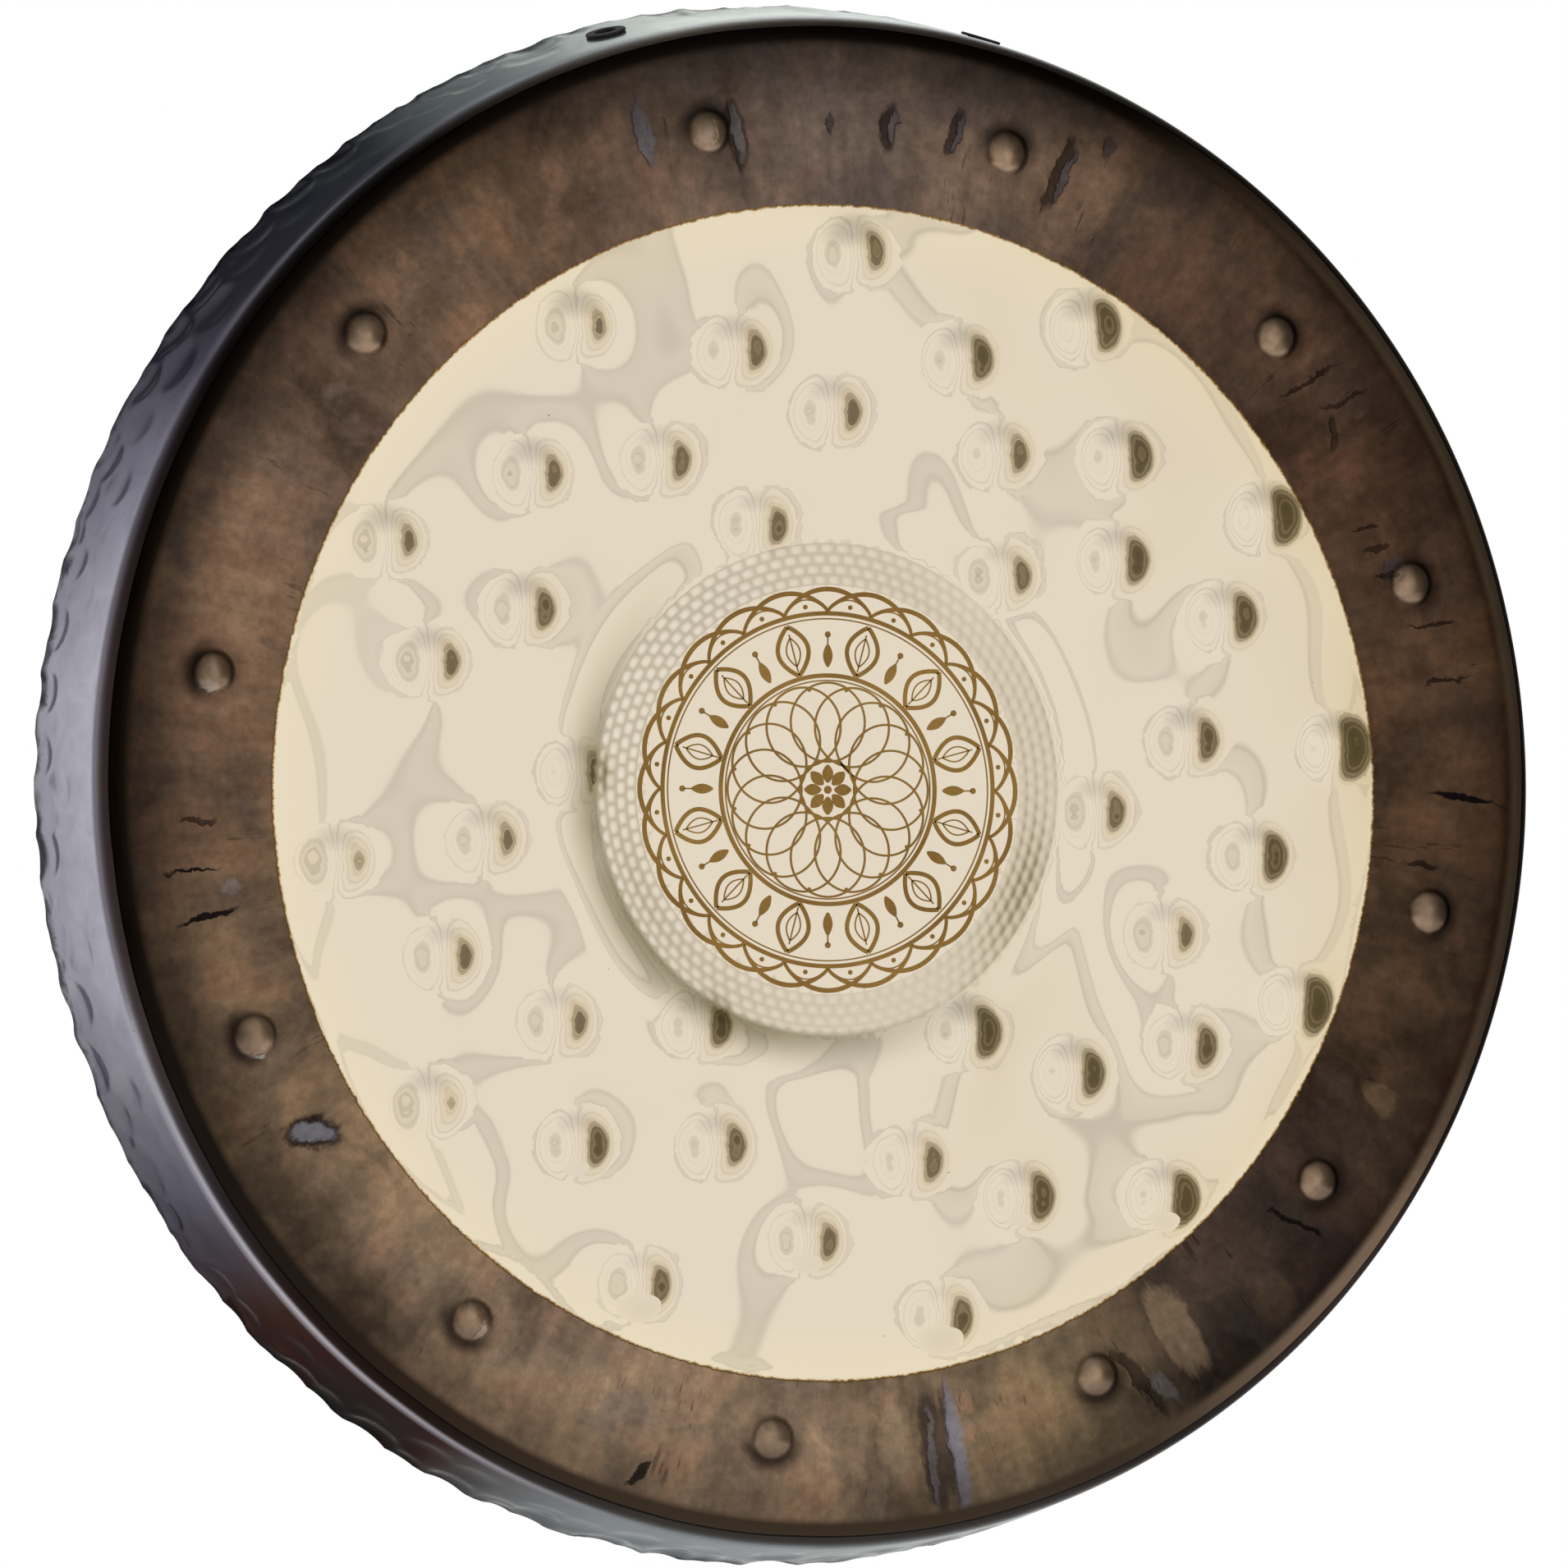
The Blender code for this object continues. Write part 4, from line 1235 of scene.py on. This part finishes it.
rubber = mouldedRubber()
for side, angle in (("left", -gong["holeAngle"]), ("right", gong["holeAngle"])):
    half = roundedHalf()
    outline = half + [(radius, -height) for radius, height in reversed(half)]
    bm = bmesh.new()
    verts = [bm.verts.new((radius, 0.0, height)) for radius, height in outline]
    edges = [bm.edges.new((verts[i - 1], verts[i])) for i in range(len(verts))]
    bmesh.ops.spin(
        bm, geom=verts + edges, cent=(0, 0, 0), axis=(0, 0, 1), angle=2 * math.pi, steps=grommet["steps"],
        use_duplicate=False,
    )
    turned = newMesh(bm, side + "Grommet", weld=0.00001)
    turned.transform(Matrix.Translation(axisPlace) @ wallFrame(angle))
    turned.shade_smooth()
    turned.set_sharp_from_angle(angle=math.radians(grommet["crease"]))
    turned.materials.append(rubber)
    piece = newPiece(side + "Grommet", turned)
    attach(piece, "root")
    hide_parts(side + "_cord_grommet")
print("grommets turned")


# The studio: a broad pale panel in front of the face, dark flags at its sides, soft light behind
studio = {
    "floorHeight": -1.094,
    "floorRadius": 1.9,
    "floorGlow": 0.62,  # the floor's own light, as the camera sees it
    "mirroredGlow": 0.50,  # and as it is mirrored or seen through glass
    "cameraDistance": 20.0,
    "cameraAzimuth": -20.7,
    "cameraElevation": -1.35,
    "frameWidth": 0.8121,  # metres of the gong that fill the picture's width
    "aimRight": -0.0225,
    "aimUp": -0.0015,
    "stirred": 6.0,  # degrees that the panels in front are uneven by
}
# Tone of the studio by heading in degrees, 0 in front of the face and positive to its right
headings = (
    (-180, "#C9CDD0"), (-172, "#A6A4AE"), (-165, "#6E6C76"), (-158, "#F4F4FA"), (-140, "#F0EEF6"),
    (-133, "#B4B1BA"), (-127, "#77747E"), (-120, "#C2BCC6"), (-106, "#9A9194"), (-74, "#93898B"),
    (-64, "#2A201C"), (-46, "#1A1410"), (-36, "#A9A498"), (-22, "#D4CFC4"), (-5, "#F2EFE8"), (8, "#FFFFFF"),
    (22, "#FFFFFF"), (30, "#F8F4EA"), (37, "#DCCDA8"), (50, "#B8A678"), (54, "#5E5636"), (62, "#211C13"),
    (100, "#1C1712"), (132, "#55534F"), (146, "#A9AEAC"), (154, "#F1F6F3"), (163, "#E4EAE7"),
    (170, "#9DA2A2"),
)
# Crisp tall panels and gaps in front of the face, by heading and tone. The mirror draws them as the rings in
# the left eye of a boss, the bands between the bosses and the dark right eyes.
panels = (
    (
        (-6.0, 1.0), (-5.4, 0.70), (-4.0, 0.74), (-3.8, 1.0), (-1.4, 0.98), (-0.8, 0.78), (0.2, 0.80),
        (0.4, 0.66), (0.6, 0.94), (3.2, 0.90), (3.4, 0.66), (3.7, 0.84), (5.8, 0.88), (6.0, 1.0), (9.0, 1.0),
        (9.1, 0.90), (9.5, 0.92), (9.6, 1.0), (14.3, 1.0), (14.4, 0.80), (14.6, 0.89), (15.3, 0.86),
        (15.4, 0.99), (16.0, 1.0),
    ),
    (
        (16.0, 1.0), (18.20, 1.0), (18.25, 0.70), (18.34, 0.78), (18.50, 0.86), (19.00, 0.83), (19.06, 0.70),
        (19.12, 0.80), (19.20, 1.0), (22.40, 1.0), (22.45, 0.72), (22.54, 0.82), (22.70, 0.91), (23.40, 0.86),
        (23.46, 0.68), (23.54, 0.80), (23.62, 1.0), (26.30, 0.98), (26.35, 0.72), (26.46, 0.82),
        (26.60, 0.90), (27.20, 0.87), (27.28, 0.98), (28.0, 0.98),
    ),
    (
        (28.0, 0.98), (30.2, 0.97), (30.3, 0.84), (30.7, 0.86), (30.8, 0.96), (32.0, 0.95), (32.1, 0.68),
        (33.6, 0.62), (33.7, 0.48), (33.9, 0.50), (34.0, 0.82), (34.3, 0.80), (34.4, 0.34), (36.0, 0.28),
        (36.1, 0.42), (37.2, 0.38), (37.3, 0.24), (40.0, 0.20), (40.2, 0.36), (41.4, 0.30), (41.5, 0.20),
        (46.0, 0.18), (46.2, 0.28), (47.0, 0.16), (52.0, 0.14),
    ),
)
# Share of that tone by height above the horizon in degrees, in front of the face
heights = (
    (-90, 0.04), (-62, 0.07), (-50, 0.35), (-44, 0.86), (-30, 1.0), (9, 1.0), (14, 0.90), (20, 0.74),
    (27, 0.62), (40, 0.55), (50, 0.30), (62, 0.06), (90, 0.03),
)


def studioWorld():
    world = bpy.data.worlds.new("studio")
    world.use_nodes = True
    world.node_tree.nodes.clear()
    add = functools.partial(addNode, world.node_tree)
    heading = add("TexCoord").outputs["Generated"]
    axes = add("SeparateXYZ", heading).outputs
    front = add("Math MULTIPLY", axes["Y"], -1.0)
    turn = add("Math ARCTAN2", axes["X"], front)
    turn = add("Math MULTIPLY_ADD", turn, 1 / (2 * math.pi), 0.5)
    rise = add("Math ARCSINE", axes["Z"])
    rise = add("Math MULTIPLY_ADD", rise, 1 / math.pi, 0.5)
    stir = add("TexNoise", heading, inputs={"Scale": 6.0, "Detail": 1.5, "Roughness": 0.5})
    stir = add("Math SUBTRACT", stir, 0.5)
    turn = add("Math MULTIPLY_ADD", stir, studio["stirred"] / 360, turn)
    tone = add("ValToRGB", turn, stops=allRound([((angle + 180) / 360, tone) for angle, tone in headings]))
    share = add("ValToRGB", rise, stops=[((angle + 90) / 180, value) for angle, value in heights])
    behind = add("MapRange SMOOTHSTEP", front, 0.1, -0.3)
    share = add("Mix RGBA", behind, share, linear(1.0))
    lit = add("Mix RGBA", 1.0, tone, share, blend_type="MULTIPLY")
    for stops in panels:
        low, high = stops[0][0], stops[-1][0]
        across = add("MapRange", turn, low / 360 + 0.5, high / 360 + 0.5)
        tall = add(
            "ValToRGB", across, stops=[((angle - low) / (high - low), value) for angle, value in stops]
        )
        inFront = add("Math LESS_THAN", turn, panels[-1][-1][0] / 360 + 0.5)
        lit = add("Mix RGBA", inFront, lit, tall, blend_type="MULTIPLY")
    seen = add("LightPath")
    straight = add(
        "Math ADD", seen.outputs["Is Camera Ray"], seen.outputs["Is Transmission Ray"], use_clamp=True
    )
    shown = add("Mix RGBA", straight, lit, linear(1.0))
    background = add("Background", shown, 1.0)
    add("OutputWorld", background)
    bpy.context.scene.world = world


def paleFloor():
    # Painted board: the shadow falls on its own colour, and some light of its own lifts it to the world's.
    material, add = newMaterial("paleFloor")
    place = add("TexCoord").outputs["Object"]
    cloud = add("TexNoise", place, inputs={"Scale": 2.0, "Detail": 3.0})
    colour = add("ValToRGB", cloud, stops=[(0.3, 0.80), (0.7, 0.84)])
    seen = add("LightPath").outputs
    mirrored = add("Math ADD", seen["Is Glossy Ray"], seen["Is Transmission Ray"])
    mirrored = add("Math MULTIPLY", mirrored, studio["mirroredGlow"])
    glow = add("Math MULTIPLY_ADD", seen["Is Camera Ray"], studio["floorGlow"], mirrored)
    shader = add(
        "BsdfPrincipled",
        inputs={
            "Base Color": colour, "Roughness": 0.8, "Emission Color": linear(1.0), "Emission Strength": glow
        },
    )
    add("OutputMaterial", shader)
    return material


bm = bmesh.new()
bmesh.ops.create_circle(bm, cap_ends=True, segments=128, radius=studio["floorRadius"])
floorMesh = newMesh(bm, "studioFloor")
floorMesh.transform(Matrix.Translation((0.0, 0.0, studio["floorHeight"])))
floorMesh.materials.append(paleFloor())
floor = newPiece("studioFloor", floorMesh)
studioWorld()

# soft lamps, kept out of the mirror so that only the studio's tones show there
lamps = {
    "keyLamp": ((-2.2, -3.6, 1.6), 2.2, 55.0),
    "fillLamp": ((2.8, -2.4, 0.2), 2.0, 20.0),
    "backLamp": ((-1.6, 3.2, 1.2), 2.4, 40.0),
}
for name, (place, size, power) in lamps.items():
    lamp = bpy.data.lights.new(name, "AREA")
    lamp.size = size
    lamp.energy = power
    holder = bpy.data.objects.new(name, lamp)
    holder.location = place
    holder.visible_glossy = False
    holder.rotation_mode = "QUATERNION"
    holder.rotation_quaternion = (axisPlace - Vector(place)).to_track_quat("-Z", "Y")
    bpy.context.scene.collection.objects.link(holder)

# the camera at the photo's angle, far off, so that the gong is seen almost without perspective
azimuth, elevation = math.radians(studio["cameraAzimuth"]), math.radians(studio["cameraElevation"])
back = Vector((
    math.sin(azimuth) * math.cos(elevation), -math.cos(azimuth) * math.cos(elevation), math.sin(elevation)
))
facing = (-back).to_track_quat("-Z", "Y")
aim = axisPlace + facing @ Vector((studio["aimRight"], studio["aimUp"], 0.0))
camera = bpy.data.cameras.new("studioCamera")
camera.lens = camera.sensor_width * studio["cameraDistance"] / studio["frameWidth"]
camera.clip_end = 100.0
studioCamera = bpy.data.objects.new("studioCamera", camera)
studioCamera.rotation_mode = "QUATERNION"
studioCamera.rotation_quaternion = facing
studioCamera.location = aim + back * studio["cameraDistance"]
bpy.context.scene.collection.objects.link(studioCamera)
bpy.context.scene.camera = studioCamera
bpy.context.scene.view_settings.view_transform = "Standard"
print("studio ready")
